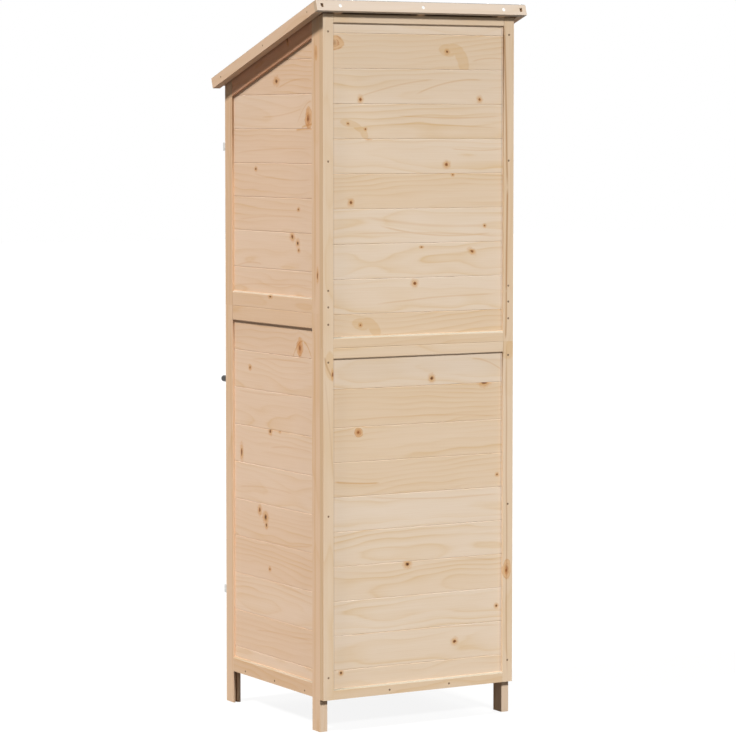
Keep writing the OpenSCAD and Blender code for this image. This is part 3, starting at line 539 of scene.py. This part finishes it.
def pine(name, marks, pale, warm, figure=1.0, ink=STROKE_TINT, edge_tint=BEVEL_SHADE_TINT, crease=None):
    """Planed pine, from the grain up: rings, clouds, fibres, end grain, painted light and shade on chosen
    faces and beside the frame, and then the marks.
    """
    wood = Recipe(name)
    grain = wood.attribute("grain", "Vector")
    plank = wood.attribute("plank")
    near, bent = {}, grain
    for kind in ("knots", "eyes"):
        push, near[kind] = blots(wood, grain, marks[kind])
        if marks[kind]:
            bent = wood.vector("SUBTRACT", bent, wood.vector("MULTIPLY", push, ACROSS_GRAIN))
    wander = wood.noise(bent, WANDER_WAVES, detail=2.0)
    late = late_wood(wood, bent, wander, plank, figure)
    clouds = wood.noise(bent, CLOUD_WAVES)
    fibre = wood.noise(bent, FIBRE_WAVES, detail=2.0, roughness=0.6)

    tone = wood.plus(wood.times(plank, PLANK_SHARE), clouds, CLOUD_SHARE)
    colour = wood.mix(wood.span(tone, *TONE_SPAN), pale, warm)
    colour = wood.tint_in(colour, late, LATE_TINT)
    colour = wood.tint_in(colour, wood.times(wood.span(fibre, *FIBRE_SPAN), FIBRE_SHARE), FIBRE_TINT)
    colour = wood.mix(wood.times(wood.attribute("end_grain"), END_SHARE), colour, END_GRAIN)
    # Painted light and shade on the marked faces: shade or a highlight on upper bevels, shade or light on a
    # corner's face
    colour = wood.tint_in(colour, wood.attribute("worn_edge"), edge_tint)
    # Painted shade on boards beside their frame
    if crease:
        colour = creased(wood, colour, crease)
    if marks["patches"]:
        colour = patched(wood, colour, grain, marks["patches"])
    if marks["strokes"]:
        colour = lined(wood, colour, grain, wander, marks["strokes"], ink)
    if marks["knots"]:
        colour = knotted(wood, colour, grain, near["knots"])
    if marks["eyes"]:
        colour = eyed(wood, colour, grain, near["eyes"])

    wood.bump(wood.plus(wood.times(late, -LATE_RELIEF), fibre, FIBRE_RELIEF), *GRAIN_RELIEF)
    rough = wood.plus(WOOD_ROUGHNESS, fibre, FIBRE_ROUGHNESS)
    return wood.finish(colour, rough, **{"Specular IOR Level": WOOD_SPECULAR})


# Planks: what each wooden piece tells its material

# How far apart the starts of the planks' grain may lie along it
GRAIN_RUN = 20

# How squarely a face looks along the grain, up and outwards, or along a corner's axis
END_FACE = 0.75
EDGE_SLOPE = (0.5, 0.85)
CORNER_FACE = 0.8

# Millimetres in a metre, and how far outside its plank a growth line may start
PER_METRE = 1000
STROKE_SLACK = 0.01

# Chance knots: their size, their place across a plank, how much longer than wide they are, and their tilt
CHANCE_SIZE = (0.0025, 0.0060)
CHANCE_ACROSS = (0.25, 0.8)
CHANCE_LENGTH = (1.0, 1.7)
CHANCE_TILT = (-30, 30)


def close_joints(piece):
    """Makes each board a little taller on both sides, so that the joints are fine lines."""
    mesh = piece.data
    only(piece)
    bpy.ops.object.mode_set(mode="EDIT")
    bpy.ops.mesh.select_mode(type="VERT")
    bpy.ops.object.mode_set(mode="OBJECT")
    for group in islands(mesh):
        chosen = set(group)
        heights = [mesh.vertices[i].co.z for i in group]
        low, high = min(heights), max(heights)
        for vertex in mesh.vertices:
            vertex.select = vertex.index in chosen
        for part in (*mesh.edges, *mesh.polygons):
            part.select = part.vertices[0] in chosen
        bpy.ops.object.mode_set(mode="EDIT")
        taller = (high - low + 2 * BOARD_GROWTH) / (high - low)
        bpy.ops.transform.resize(value=(1, 1, taller), center_override=(0, 0, (low + high) / 2))
        bpy.ops.object.mode_set(mode="OBJECT")


def write_attribute(mesh, name, kind, domain, field, values):
    mesh.attributes.new(name, kind, domain).data.foreach_set(field, values)


def mark_planks(mesh, seed, tilt, tints):
    """Writes the grain's direction and a number for each plank as attributes. Returns for each plank
    its vertices, its box in grain axes, its axes, and the shift that keeps its grain its own."""
    grain = [Vector()] * len(mesh.vertices)
    tone = [0.0] * len(mesh.vertices)
    planks = []
    for number, group in enumerate(islands(mesh)):
        dice = random.Random(f"{seed} {number}")
        points = {i: tilt @ mesh.vertices[i].co for i in group}
        low = Vector([min(point[axis] for point in points.values()) for axis in range(3)])
        high = Vector([max(point[axis] for point in points.values()) for axis in range(3)])
        axes = sorted(range(3), key=lambda axis: low[axis] - high[axis])
        across = PLANK_STEP * number - low[axes[1]] + PLANK_STEP / 4
        shift = Vector((dice.uniform(0, GRAIN_RUN), across, -low[axes[2]]))
        tint = dice.random()
        for height, chosen in tints:
            if low.z < height / PER_METRE < high.z:
                tint = chosen
        for i, point in points.items():
            grain[i] = Vector([point[axis] for axis in axes]) + shift
            tone[i] = tint
        planks.append({"group": group, "low": low, "high": high, "axes": axes, "shift": shift})
    parts = [part for point in grain for part in point]
    write_attribute(mesh, "grain", "FLOAT_VECTOR", "POINT", "vector", parts)
    write_attribute(mesh, "plank", "FLOAT", "POINT", "value", tone)
    return planks


def mark_faces(mesh, planks, tilt, corner):
    """Marks the end grain, and the faces that take painted light or shade: upper bevels, or a corner's face.
    """
    length_of = {i: plank["axes"][0] for plank in planks for i in plank["group"]}
    ends, light_faces = [], []
    for face in mesh.polygons:
        normal = tilt @ face.normal
        ends.append(float(abs(normal[length_of[face.vertices[0]]]) > END_FACE))
        if corner:
            axis, beyond = corner
            light_faces.append(float(normal[axis] > CORNER_FACE and face.center[axis] > beyond))
        else:
            upper = EDGE_SLOPE[0] < normal.z < EDGE_SLOPE[1]
            light_faces.append(float(upper and abs(normal.x) + abs(normal.y) > EDGE_SLOPE[0]))
    write_attribute(mesh, "end_grain", "FLOAT", "FACE", "value", ends)
    write_attribute(mesh, "worn_edge", "FLOAT", "FACE", "value", light_faces)


def in_metres(places):
    return [(*(value / PER_METRE for value in place[:-1]), place[-1]) for place in places]


def blots_on(planks, places):
    """Turns knots, eyes or patches in the row frame into places in the grain."""
    found = []
    for along, across, *shape in in_metres(places):
        for plank in planks:
            (length, width, _), low, high = plank["axes"], plank["low"], plank["high"]
            if low[width] <= across < high[width] and low[length] <= along <= high[length]:
                found.append((along + plank["shift"][0], across + plank["shift"][1], *shape))
                break
    return found


def strokes_on(planks, strokes):
    """Turns growth lines in the row frame into places in the grain."""
    found = []
    for a_along, a_across, b_along, b_across, *shape in in_metres(strokes):
        for plank in planks:
            (length, width, _), low, high = plank["axes"], plank["low"], plank["high"]
            starts = low[length] <= a_along + STROKE_SLACK and a_along - STROKE_SLACK <= high[length]
            if starts and low[width] <= (a_across + b_across) / 2 < high[width]:
                dx, dy = plank["shift"][0], plank["shift"][1]
                found.append((a_along + dx, a_across + dy, b_along + dx, b_across + dy, *shape))
                break
    return found


def scattered_knots(planks, seed, share):
    """Chance knots on this share of the planks, for those that the photograph doesn't show."""
    dice = random.Random(seed)
    found = []
    for plank in planks:
        (length, width, _), low, high = plank["axes"], plank["low"], plank["high"]
        if dice.random() > share:
            continue
        size = dice.uniform(*CHANCE_SIZE)
        along = dice.uniform(low[length], high[length]) + plank["shift"][0]
        across = low[width] + (high[width] - low[width]) * dice.uniform(*CHANCE_ACROSS) + plank["shift"][1]
        found.append((along, across, size * dice.uniform(*CHANCE_LENGTH), size, dice.uniform(*CHANCE_TILT)))
    return found


def wooden(node, knots=(), eyes=(), patches=(), strokes=(), width=WOOD_EASE, tight=False, sloped=False,
           share=0.0, tints=(), corner=None, **look):
    """A wooden piece: an eased copy of its node with its own run of grain. Tight boards have fine joints,
    and the share is that of its planks with a chance knot."""
    piece = copy_of(node, f"{node}_wood")
    if tight:
        close_joints(piece)
    ease(piece, width)
    tilt = Matrix.Rotation(-ROOF_SLOPE, 3, "X") if sloped else Matrix.Identity(3)
    planks = mark_planks(piece.data, piece.name, tilt, tints)
    mark_faces(piece.data, planks, tilt, corner)
    marks = {"knots": blots_on(planks, knots) + scattered_knots(planks, node, share),
             "eyes": blots_on(planks, eyes), "patches": blots_on(planks, patches),
             "strokes": strokes_on(planks, strokes)}
    piece.data.materials.append(pine(f"pine of {node.replace('_', ' ')}", marks, **look))
    settle(piece, node)


# Marks seen in the photograph, in millimetres and degrees.
# A knot, an eye (a large ringed knot) or a patch of heartwood: along, across, reach along and across, tilt.
# A stroke is a growth line that stands out: along and across at both ends, bow, half width, and force
REAR_UPPER_MARKS = {
    "knots": (
        (-79, 1624, 3.2, 3, 0), (162, 1508, 3.6, 4.5, 0), (-172, 1510, 3.5, 4, 0), (196, 1451, 2.0, 2.0, 0),
        (139, 1418, 4.5, 3, 0), (148, 1438, 2, 2, 0), (-78, 1353, 5.0, 4.2, 0), (-96, 1328, 2.6, 2.2, 0),
        (188, 1264, 4.0, 4.4, 0), (-187, 1204, 2.4, 2.2, 0), (-8, 1155, 3.0, 1.8, 0),
        (-151, 1142, 5.5, 3.2, 28), (11, 1068, 4.6, 4.4, 0), (162, 972, 2.6, 2.6, 0)),
    "eyes": ((236, 1642, 26, 17, 0),),
    "patches": (
        (-81, 1627, 25, 15, 8), (-104, 1629, 24, 13, 18), (-120, 1612, 27, 15, 55), (-126, 1596, 24, 15, 75),
        (196, 1452, 22, 9, 10), (170, 1443, 22, 8, 35), (152, 1428, 16, 9, 60),
        (160, 974, 25, 14, 8), (138, 976, 22, 12, 18), (123, 962, 22, 14, 55)),
    "strokes": (
        (262, 1640, 20, 1650, 4, 2.6, 0.45), (262, 1610, -20, 1600, -5, 3.2, 0.35),
        (-150, 1600, -238, 1606, 5, 2.6, 0.5), (262, 1553, 60, 1568, -6, 2.6, 0.5),
        (165, 1515, -40, 1556, 6, 2.8, 0.45), (10, 1520, -180, 1556, 12, 3.0, 0.55),
        (262, 1484, -238, 1478, 4, 2.4, 0.45), (60, 1470, -238, 1470, -5, 2.6, 0.5),
        (100, 1450, -238, 1440, 3, 2.2, 0.3), (262, 1397, 90, 1404, 2, 2.6, 0.55),
        (-90, 1390, -238, 1390, -4, 2.2, 0.5), (262, 1345, -200, 1338, -4, 4.0, 0.3),
        (262, 1318, -238, 1316, 4, 2.4, 0.4), (150, 1230, -200, 1205, -9, 5.0, 0.35),
        (110, 1210, -205, 1186, -14, 3.0, 0.6), (185, 1192, -238, 1176, 6, 2.6, 0.45),
        (262, 1126, -238, 1152, 16, 3.0, 0.5), (262, 1111, 10, 1122, 6, 2.4, 0.35),
        (262, 1056, 0, 1072, 3, 3.0, 0.4), (120, 1020, -220, 1038, 4, 2.8, 0.5),
        (262, 1015, 40, 1030, 4, 2.6, 0.35), (262, 969, -238, 968, -5, 2.8, 0.4))}
REAR_LOWER_MARKS = {
    "knots": (
        (-37, 837, 4.5, 5, 0), (-187, 821, 8, 5, 0), (168, 716, 3.6, 3.6, 0), (-225, 593, 2.6, 2.6, 0),
        (31, 389, 5.5, 4.6, 0), (-224, 268, 3.2, 3.2, 0), (-103, 190, 4.6, 4.2, 0),
        (216, 140, 3.2, 3.2, 0)),
    "eyes": ((168, 716, 11, 10, 0),),
    "strokes": (
        (262, 880, -238, 872, 6, 2.6, 0.35), (-150, 880, -238, 850, 8, 3.0, 0.5),
        (262, 800, -60, 790, -6, 2.8, 0.4), (200, 745, -238, 735, 8, 2.6, 0.35),
        (262, 668, -120, 655, 6, 2.8, 0.4), (235, 600, 108, 593, -2, 3.4, 0.9),
        (150, 560, -238, 548, -8, 3.0, 0.4), (262, 470, -60, 480, 7, 2.6, 0.4),
        (120, 400, -238, 380, 8, 2.8, 0.35), (262, 320, -100, 312, -6, 2.8, 0.35),
        (200, 228, -238, 218, 6, 2.8, 0.4), (262, 130, -60, 138, 4, 2.6, 0.35))}
REAR_STILE_MARKS = {
    "knots": ((857, 241, 6, 2, 0), (355, -249, 5, 2.8, 0)),
    "eyes": ((357, -251, 22, 11, 0),),
    "patches": ((880, 249, 33, 13, 0), (860, 244, 18, 10, 0), (905, -252, 30, 20, 0)),
    "strokes": (
        (1690, -241, 1290, -250, 1, 4.0, 0.8), (1300, -250, 1030, -246.5, 0, 4.0, 0.9),
        (1050, -246.5, 925, -245, 0, 3.0, 0.8), (920, -250, 90, -252, 2, 3.0, 0.5),
        (900, 263, 850, 241, 4, 4.0, 0.45), (850, 262, 600, 241, -2, 3.0, 0.15))}
SIDE_UPPER_MARKS = {
    "knots": (
        (172, 1462, 4, 9, 0), (15, 1554, 7, 5, 0), (-91, 1341, 3.6, 3, 0), (125, 1246, 3.5, 2.5, 0),
        (94, 1180, 6, 5, -35), (121, 1165, 4.5, 4.5, -35), (126, 1148, 3.5, 3, 0)),
    "eyes": ((176, 1464, 17, 24, 0),),
    "strokes": (
        (198, 1440, 112, 1436, 1, 5, 1.0), (198, 1450, 140, 1440, 2, 4, 0.9),
        (190, 1555, 20, 1535, 10, 3, 0.5), (150, 1490, -60, 1466, -6, 3, 0.4),
        (190, 1505, 120, 1450, 14, 3, 0.5), (180, 1390, -190, 1380, 5, 3, 0.35),
        (190, 1320, -100, 1330, -6, 3, 0.35), (150, 1225, -190, 1215, 6, 3, 0.3),
        (-60, 1108, -190, 1100, 6, 3, 0.4), (190, 1065, -190, 1052, 4, 3, 0.35))}
SIDE_LOWER_MARKS = {
    "knots": (
        (131, 913, 4, 8, 0), (-124, 850, 4, 3.5, 0), (-19, 700, 5, 4.5, 0), (29, 707, 4, 3.5, 0),
        (-169, 636, 4, 10, 0), (-75, 501, 5, 6, 0), (-44, 486, 7, 7, 0), (-40, 467, 4, 5, 0),
        (-23, 360, 3.5, 3, 0)),
    "eyes": ((131, 915, 16, 20, 0),),
    "strokes": (
        (190, 892, 150, 930, 8, 4, 0.9), (150, 932, 95, 888, 12, 4, 0.8),
        (190, 880, -120, 872, 6, 3, 0.4), (120, 800, -190, 790, -6, 3, 0.35),
        (190, 668, -20, 660, 6, 3, 0.4), (100, 560, -190, 548, 7, 3, 0.35),
        (190, 440, -60, 430, -6, 3, 0.35), (150, 320, -190, 330, 6, 3, 0.35),
        (190, 210, -100, 200, 5, 3, 0.35))}
SIDE_REAR_STILE_MARKS = {
    "knots": ((1092, 228, 9, 2.4, 0),),
    "eyes": ((1617, 221, 17, 6, 0),),
    "strokes": (
        (1700, 212, 1010, 215, 2, 6, 0.5), (1700, 241, 1010, 241, 0, 4, 0.9),
        (995, 214, 20, 213, 2, 6, 0.4), (995, 241, 20, 241, 0, 4, 0.7))}
SIDE_FRONT_STILE_MARKS = {
    "knots": ((758, -201, 4, 2.6, 0),),
    "strokes": ((1540, -214, 1010, -218, 1, 4, 0.4), (995, -216, 20, -212, 2, 4, 0.4))}
SIDE_RAIL_KNOTS = ((-8, 1031, 5, 2.6, 0),)
SLOPING_RAIL_KNOTS = ((592, 1544, 2.6, 7, 0),)

# Boards of a chosen tone: a height in millimetres, and 0 for pale to 1 for warm
REAR_UPPER_TINTS = ((1207, 0.0), (1040, 0.1))
REAR_LOWER_TINTS = ((780, 1.0), (520, 0.0))
SIDE_UPPER_TINTS = ((1540, 1.0), (1620, 1.0))

# What the boards of every wall and of the door share
BOARDS = {"width": BOARD_EASE, "tight": True}


def build_side_section(level, boards):
    """One section of both side walls. The right one carries the photograph's marks."""
    wooden(f"right_{level}_boards", **boards, **BOARDS, **SIDE_TONES)
    wooden(f"left_{level}_boards", share=0.6, **BOARDS, **SIDE_TONES)
    # Painted light on the rear faces of the side walls' rear stiles, which are the legs
    legs = {"corner": LEG_CORNER, "edge_tint": LEG_LIGHT_TINT, **FRAME_TONES}
    wooden(f"right_{level}_front_stile", **SIDE_FRONT_STILE_MARKS, **FRAME_TONES)
    wooden(f"left_{level}_front_stile", **FRAME_TONES)
    wooden(f"right_{level}_rear_stile", **SIDE_REAR_STILE_MARKS, **legs)
    wooden(f"left_{level}_rear_stile", **legs)
    sloped = level == "upper"
    top_tones = SLOPING_TONES_AND_SHADE if sloped else FRAME_TONES
    for side, bottom_knots, top_knots in (("right", SIDE_RAIL_KNOTS, SLOPING_RAIL_KNOTS), ("left", (), ())):
        wooden(f"{side}_{level}_bottom_rail", bottom_knots, width=RAIL_EASE, **FRAME_TONES)
        wooden(f"{side}_{level}_top_rail", top_knots, width=RAIL_EASE, sloped=sloped, **top_tones)


def build_rear_section(level, boards, tints):
    # Painted shade on the rear boards beside their stiles, and a painted highlight on their upper bevels
    wooden(f"rear_{level}_boards", tints=tints, crease=REAR_FRAME_SHADE, **boards, **BOARDS, **REAR_TONES)
    # Painted shade on the outer corner faces of the rear stiles
    wooden(f"rear_{level}_stiles", corner=REAR_CORNER, edge_tint=CORNER_SHADE_TINT, **REAR_STILE_MARKS,
           **REAR_FRAME_TONES)
    for part in ("top_rail", "bottom_rail"):
        wooden(f"rear_{level}_{part}", width=RAIL_EASE, **REAR_FRAME_TONES)


def build_walls():
    build_side_section("lower", SIDE_LOWER_MARKS)
    build_side_section("upper", {"tints": SIDE_UPPER_TINTS, **SIDE_UPPER_MARKS})
    build_rear_section("lower", REAR_LOWER_MARKS, REAR_LOWER_TINTS)
    build_rear_section("upper", REAR_UPPER_MARKS, REAR_UPPER_TINTS)


def build_inside():
    for node in ("front_sill", "front_header", "floor_cleats"):
        wooden(node, **FRAME_TONES)
    wooden("floor_boards", width=BOARD_EASE, share=0.7, **FRAME_TONES)


def build_roof():
    for part in ("right", "left", "front"):
        wooden(f"roof_{part}_fascia", sloped=True, width=FASCIA_EASE, **FASCIA_TONES)
    wooden("roof_rear_fascia", sloped=True, width=FASCIA_EASE, **REAR_FASCIA_TONES)
    wooden("roof_rafters", sloped=True, **FRAME_TONES)
    wooden("roof_boards", sloped=True, width=BOARD_EASE, share=0.6, **FRAME_TONES)


def build_door():
    for part in ("hinge_stile", "latch_stile", "top_rail", "middle_rail", "bottom_rail"):
        wooden(f"door_{part}", **FRAME_TONES)
    wooden("door_boards", share=0.5, **BOARDS, **REAR_TONES)


# Metal, plastic and felt: waves to the metre of each finish, and the depth and strength of its relief
SPANGLE_WAVES = (160.0, 160.0, 160.0)
STAIN_WAVES = (35.0, 35.0, 35.0)
GRIT_WAVES = (1400.0, 1400.0, 1400.0)
SCUFF_WAVES = (120.0, 120.0, 120.0)
FELT_GRIT = 750.0
FELT_WAVES = (9.0, 9.0, 9.0)
SPANGLE_RELIEF = (0.0002, 0.25)
GRIT_RELIEF = (0.0001, 0.5)
FELT_RELIEF = (0.0006, 0.8)

# The stretch of the noise that takes each mark from none to all, and how much the marks on top cover
SPANGLE_SPAN = (0.3, 0.7)
STAIN_SPAN = (0.55, 0.8)
SCUFF_SPAN = (0.4, 0.8)
STAIN_SHARE = 0.35
FELT_CLOUD_SHARE = 0.5

# Roughness: each metal's least and how much it adds, the plastic's range, and the felt's. The wear is
# the stretch of the noise over which it grows
ZINC_SMOOTH = 0.30
BRIGHT_SMOOTH = 0.24
DARK_SMOOTH = 0.42
METAL_ROUGHER = 0.16
METAL_WEAR = (0.2, 0.8)
PLASTIC_ROUGHNESS = (0.34, 0.52)
PLASTIC_WEAR = (0.3, 0.7)
FELT_ROUGHNESS = 0.95

# How metallic the steel is, and how much the felt shines
STEEL_METALLIC = 0.9
FELT_SPECULAR = 0.2

# Screw heads: how far a cross recess reaches and how wide it is, as shares of the head, and its depth
HEAD_CORNERS = 12
CROSS_REACH = 0.62
CROSS_WIDTH = 0.20
CROSS_DEPTH = 0.0009
CROSS_TURNS = (math.radians(45), math.radians(135))


def metal(name, tones, smooth):
    """Plated or oiled steel: a fine spangle between two tones, with stains of the third."""
    plate = Recipe(name)
    place = plate.place()
    spangle = plate.noise(place, SPANGLE_WAVES)
    dull = plate.noise(place, STAIN_WAVES, detail=2.0)
    colour = plate.mix(plate.span(spangle, *SPANGLE_SPAN), tones[0], tones[1])
    colour = plate.mix(plate.times(plate.span(dull, *STAIN_SPAN), STAIN_SHARE), colour, tones[2])
    plate.bump(spangle, *SPANGLE_RELIEF)
    rough = plate.span(spangle, *METAL_WEAR, smooth, smooth + METAL_ROUGHER)
    return plate.finish(colour, rough, Metallic=STEEL_METALLIC)


def black_plastic():
    shell = Recipe("black moulded plastic")
    place = shell.place()
    grit = shell.noise(place, GRIT_WAVES, detail=2.0)
    scuff = shell.noise(place, SCUFF_WAVES)
    colour = shell.mix(shell.span(scuff, *SCUFF_SPAN), *PLASTIC_TONES)
    shell.bump(grit, *GRIT_RELIEF)
    return shell.finish(colour, shell.span(scuff, *PLASTIC_WEAR, *PLASTIC_ROUGHNESS))


def roofing_felt():
    felt = Recipe("gritted roofing felt")
    place = felt.place()
    grit = felt.add("ShaderNodeTexVoronoi", {"Vector": place, "Scale": FELT_GRIT}).outputs["Distance"]
    clouds = felt.noise(place, FELT_WAVES, detail=4.0)
    colour = felt.mix(grit, FELT_TONES[0], FELT_TONES[1])
    colour = felt.mix(felt.times(clouds, FELT_CLOUD_SHARE), colour, FELT_TONES[2])
    felt.bump(grit, *FELT_RELIEF)
    return felt.finish(colour, FELT_ROUGHNESS, **{"Specular IOR Level": FELT_SPECULAR})


def screw_heads(mesh):
    """The centre, normal and radius of every screw's flat head, which is its largest round face."""
    number_of = {i: number for number, group in enumerate(islands(mesh)) for i in group}
    head_of = {}
    for face in mesh.polygons:
        number = number_of[face.vertices[0]]
        largest = head_of[number].area if number in head_of else 0
        if len(face.vertices) > HEAD_CORNERS and face.area > largest:
            head_of[number] = face
    return [(face.center.copy(), face.normal.copy(), math.sqrt(face.area / math.pi))
            for face in head_of.values()]


def cut_crosses(piece):
    """Sinks a cross recess into the flat head of every screw in the piece."""
    arms = []
    for centre, normal, radius in screw_heads(piece.data):
        facing = normal.to_track_quat("Z", "Y")
        for turn in CROSS_TURNS:
            bpy.ops.object.select_all(action="DESELECT")
            bpy.ops.mesh.primitive_cube_add(size=1, location=centre)
            arm = bpy.context.active_object
            arm.rotation_euler = (facing @ Matrix.Rotation(turn, 3, "Z").to_quaternion()).to_euler()
            arm.scale = (2 * CROSS_REACH * radius, CROSS_WIDTH * 2 * radius, 2 * CROSS_DEPTH)
            arms.append(arm)
    bpy.ops.object.select_all(action="DESELECT")
    for arm in arms:
        arm.select_set(True)
    bpy.context.view_layer.objects.active = arms[0]
    bpy.ops.object.transform_apply(location=True, rotation=True, scale=True)
    bpy.ops.object.join()
    crosses = bpy.context.active_object
    only(piece)
    cut = piece.modifiers.new("cross recess", "BOOLEAN")
    cut.operation = "DIFFERENCE"
    cut.object = crosses
    cut.use_self = True
    bpy.ops.object.modifier_apply(modifier=cut.name)
    bpy.data.objects.remove(crosses, do_unlink=True)


def hard(node, material, width=PLATE_EASE, crossed=False, outer=None):
    """A metal, plastic or felt piece: an eased copy of its node. The outer material goes on what
    lies beyond the side walls."""
    piece = copy_of(node, f"{node}_finish")
    if crossed:
        cut_crosses(piece)
    ease(piece, width, smooth=True)
    piece.data.materials.append(material)
    if outer:
        piece.data.materials.append(outer)
        for face in piece.data.polygons:
            face.material_index = int(abs(face.center.x) > SIDE_WALL_X)
    settle(piece, node)


def build_fittings():
    zinc = metal("zinc plated steel", ZINC_TONES, ZINC_SMOOTH)
    bright = metal("bright screws", BRIGHT_TONES, BRIGHT_SMOOTH)
    # Screws painted dark, partly for the shade of the holes they sit in
    dark_shaded = metal("oiled steel screws", DARK_SHADED_TONES, DARK_SMOOTH)
    for node in ("hinge_frame_leaves", "hinge_door_leaves", "latch_tongue", "upper_turn_button",
                 "lower_turn_button"):
        hard(node, zinc)
    for node in ("hinge_pins", "felt_nails", "pivot_bolts"):
        hard(node, zinc, PIN_EASE)
    for node in ("hinge_frame_screws", "hinge_door_screws"):
        hard(node, zinc, PIN_EASE, crossed=True)
    for node in ("wall_screws", "floor_screws"):
        hard(node, dark_shaded, PIN_EASE, crossed=True)
    hard("roof_screws", bright, PIN_EASE, crossed=True, outer=dark_shaded)
    plastic = black_plastic()
    for node in ("latch_knob", "door_knob"):
        hard(node, plastic, KNOB_EASE)
    hard("roof_felt", roofing_felt(), FELT_EASE)


# Room, lamps and camera

def seen_white(room):
    """1 for what the camera sees, straight, in a gloss or through glass."""
    rays = room.add("ShaderNodeLightPath").outputs
    seen = room.math("ADD", rays["Is Camera Ray"], rays["Is Glossy Ray"], clamp=True)
    return room.math("ADD", seen, rays["Is Transmission Ray"], clamp=True)


def build_floor():
    """A dim floor that takes the shadow, lifted to white where it is seen."""
    bpy.ops.mesh.primitive_plane_add(size=FLOOR_SIZE, location=(0, 0, 0))
    floor = bpy.context.active_object
    floor.name = "floor"
    paint = bpy.data.materials.new("pale floor")
    paint.use_nodes = True
    paint.node_tree.nodes.clear()
    room = Nodes(paint.node_tree)
    plain = room.add("ShaderNodeBsdfDiffuse", {"Color": (FLOOR_GREY, FLOOR_GREY, FLOOR_GREY)})
    lift = room.add("ShaderNodeEmission", {"Strength": room.times(seen_white(room), FLOOR_LIFT)})
    both = room.add("ShaderNodeAddShader", {0: plain.outputs[0], 1: lift.outputs[0]})
    room.add("ShaderNodeOutputMaterial", {"Surface": both.outputs[0]})
    floor.data.materials.append(paint)


def build_world():
    """A room that is white where it is seen, and that lights the shed warmly and dimly."""
    world = bpy.data.worlds.new("pale room")
    bpy.context.scene.world = world
    world.use_nodes = True
    room = Nodes(world.node_tree)
    back = room.tree.nodes["Background"]
    back.inputs["Strength"].default_value = 1.0
    dim = tuple(ROOM_STRENGTH * part for part in ROOM_COLOUR)
    room.put(room.mix(seen_white(room), dim, WHITE), back.inputs["Color"])


def hang_lamps():
    for name, (source, strength, width) in LAMPS.items():
        lamp = bpy.data.lights.new(name, "SUN")
        lamp.energy = strength
        lamp.angle = math.radians(width)
        holder = bpy.data.objects.new(name, lamp)
        bpy.context.collection.objects.link(holder)
        holder.rotation_euler = source.to_track_quat("Z", "Y").to_euler()
        holder.location = source * LAMP_DISTANCE


def build_camera():
    eye = bpy.data.cameras.new("camera")
    eye.sensor_width = SENSOR_WIDTH
    eye.lens = FOCAL_PIXELS * SENSOR_WIDTH / PICTURE_PIXELS
    eye.shift_y = CAMERA_SHIFT
    eye.clip_end = CAMERA_REACH
    holder = bpy.data.objects.new("camera", eye)
    bpy.context.collection.objects.link(holder)
    holder.location = CAMERA_PLACE
    holder.rotation_euler = (math.radians(90 - CAMERA_DIP), 0, math.radians(CAMERA_TURN))
    bpy.context.scene.camera = holder


build_camera()
build_walls()
build_inside()
build_roof()
build_door()
build_fittings()
build_floor()
build_world()
hang_lamps()
bpy.context.scene.view_settings.view_transform = "Standard"
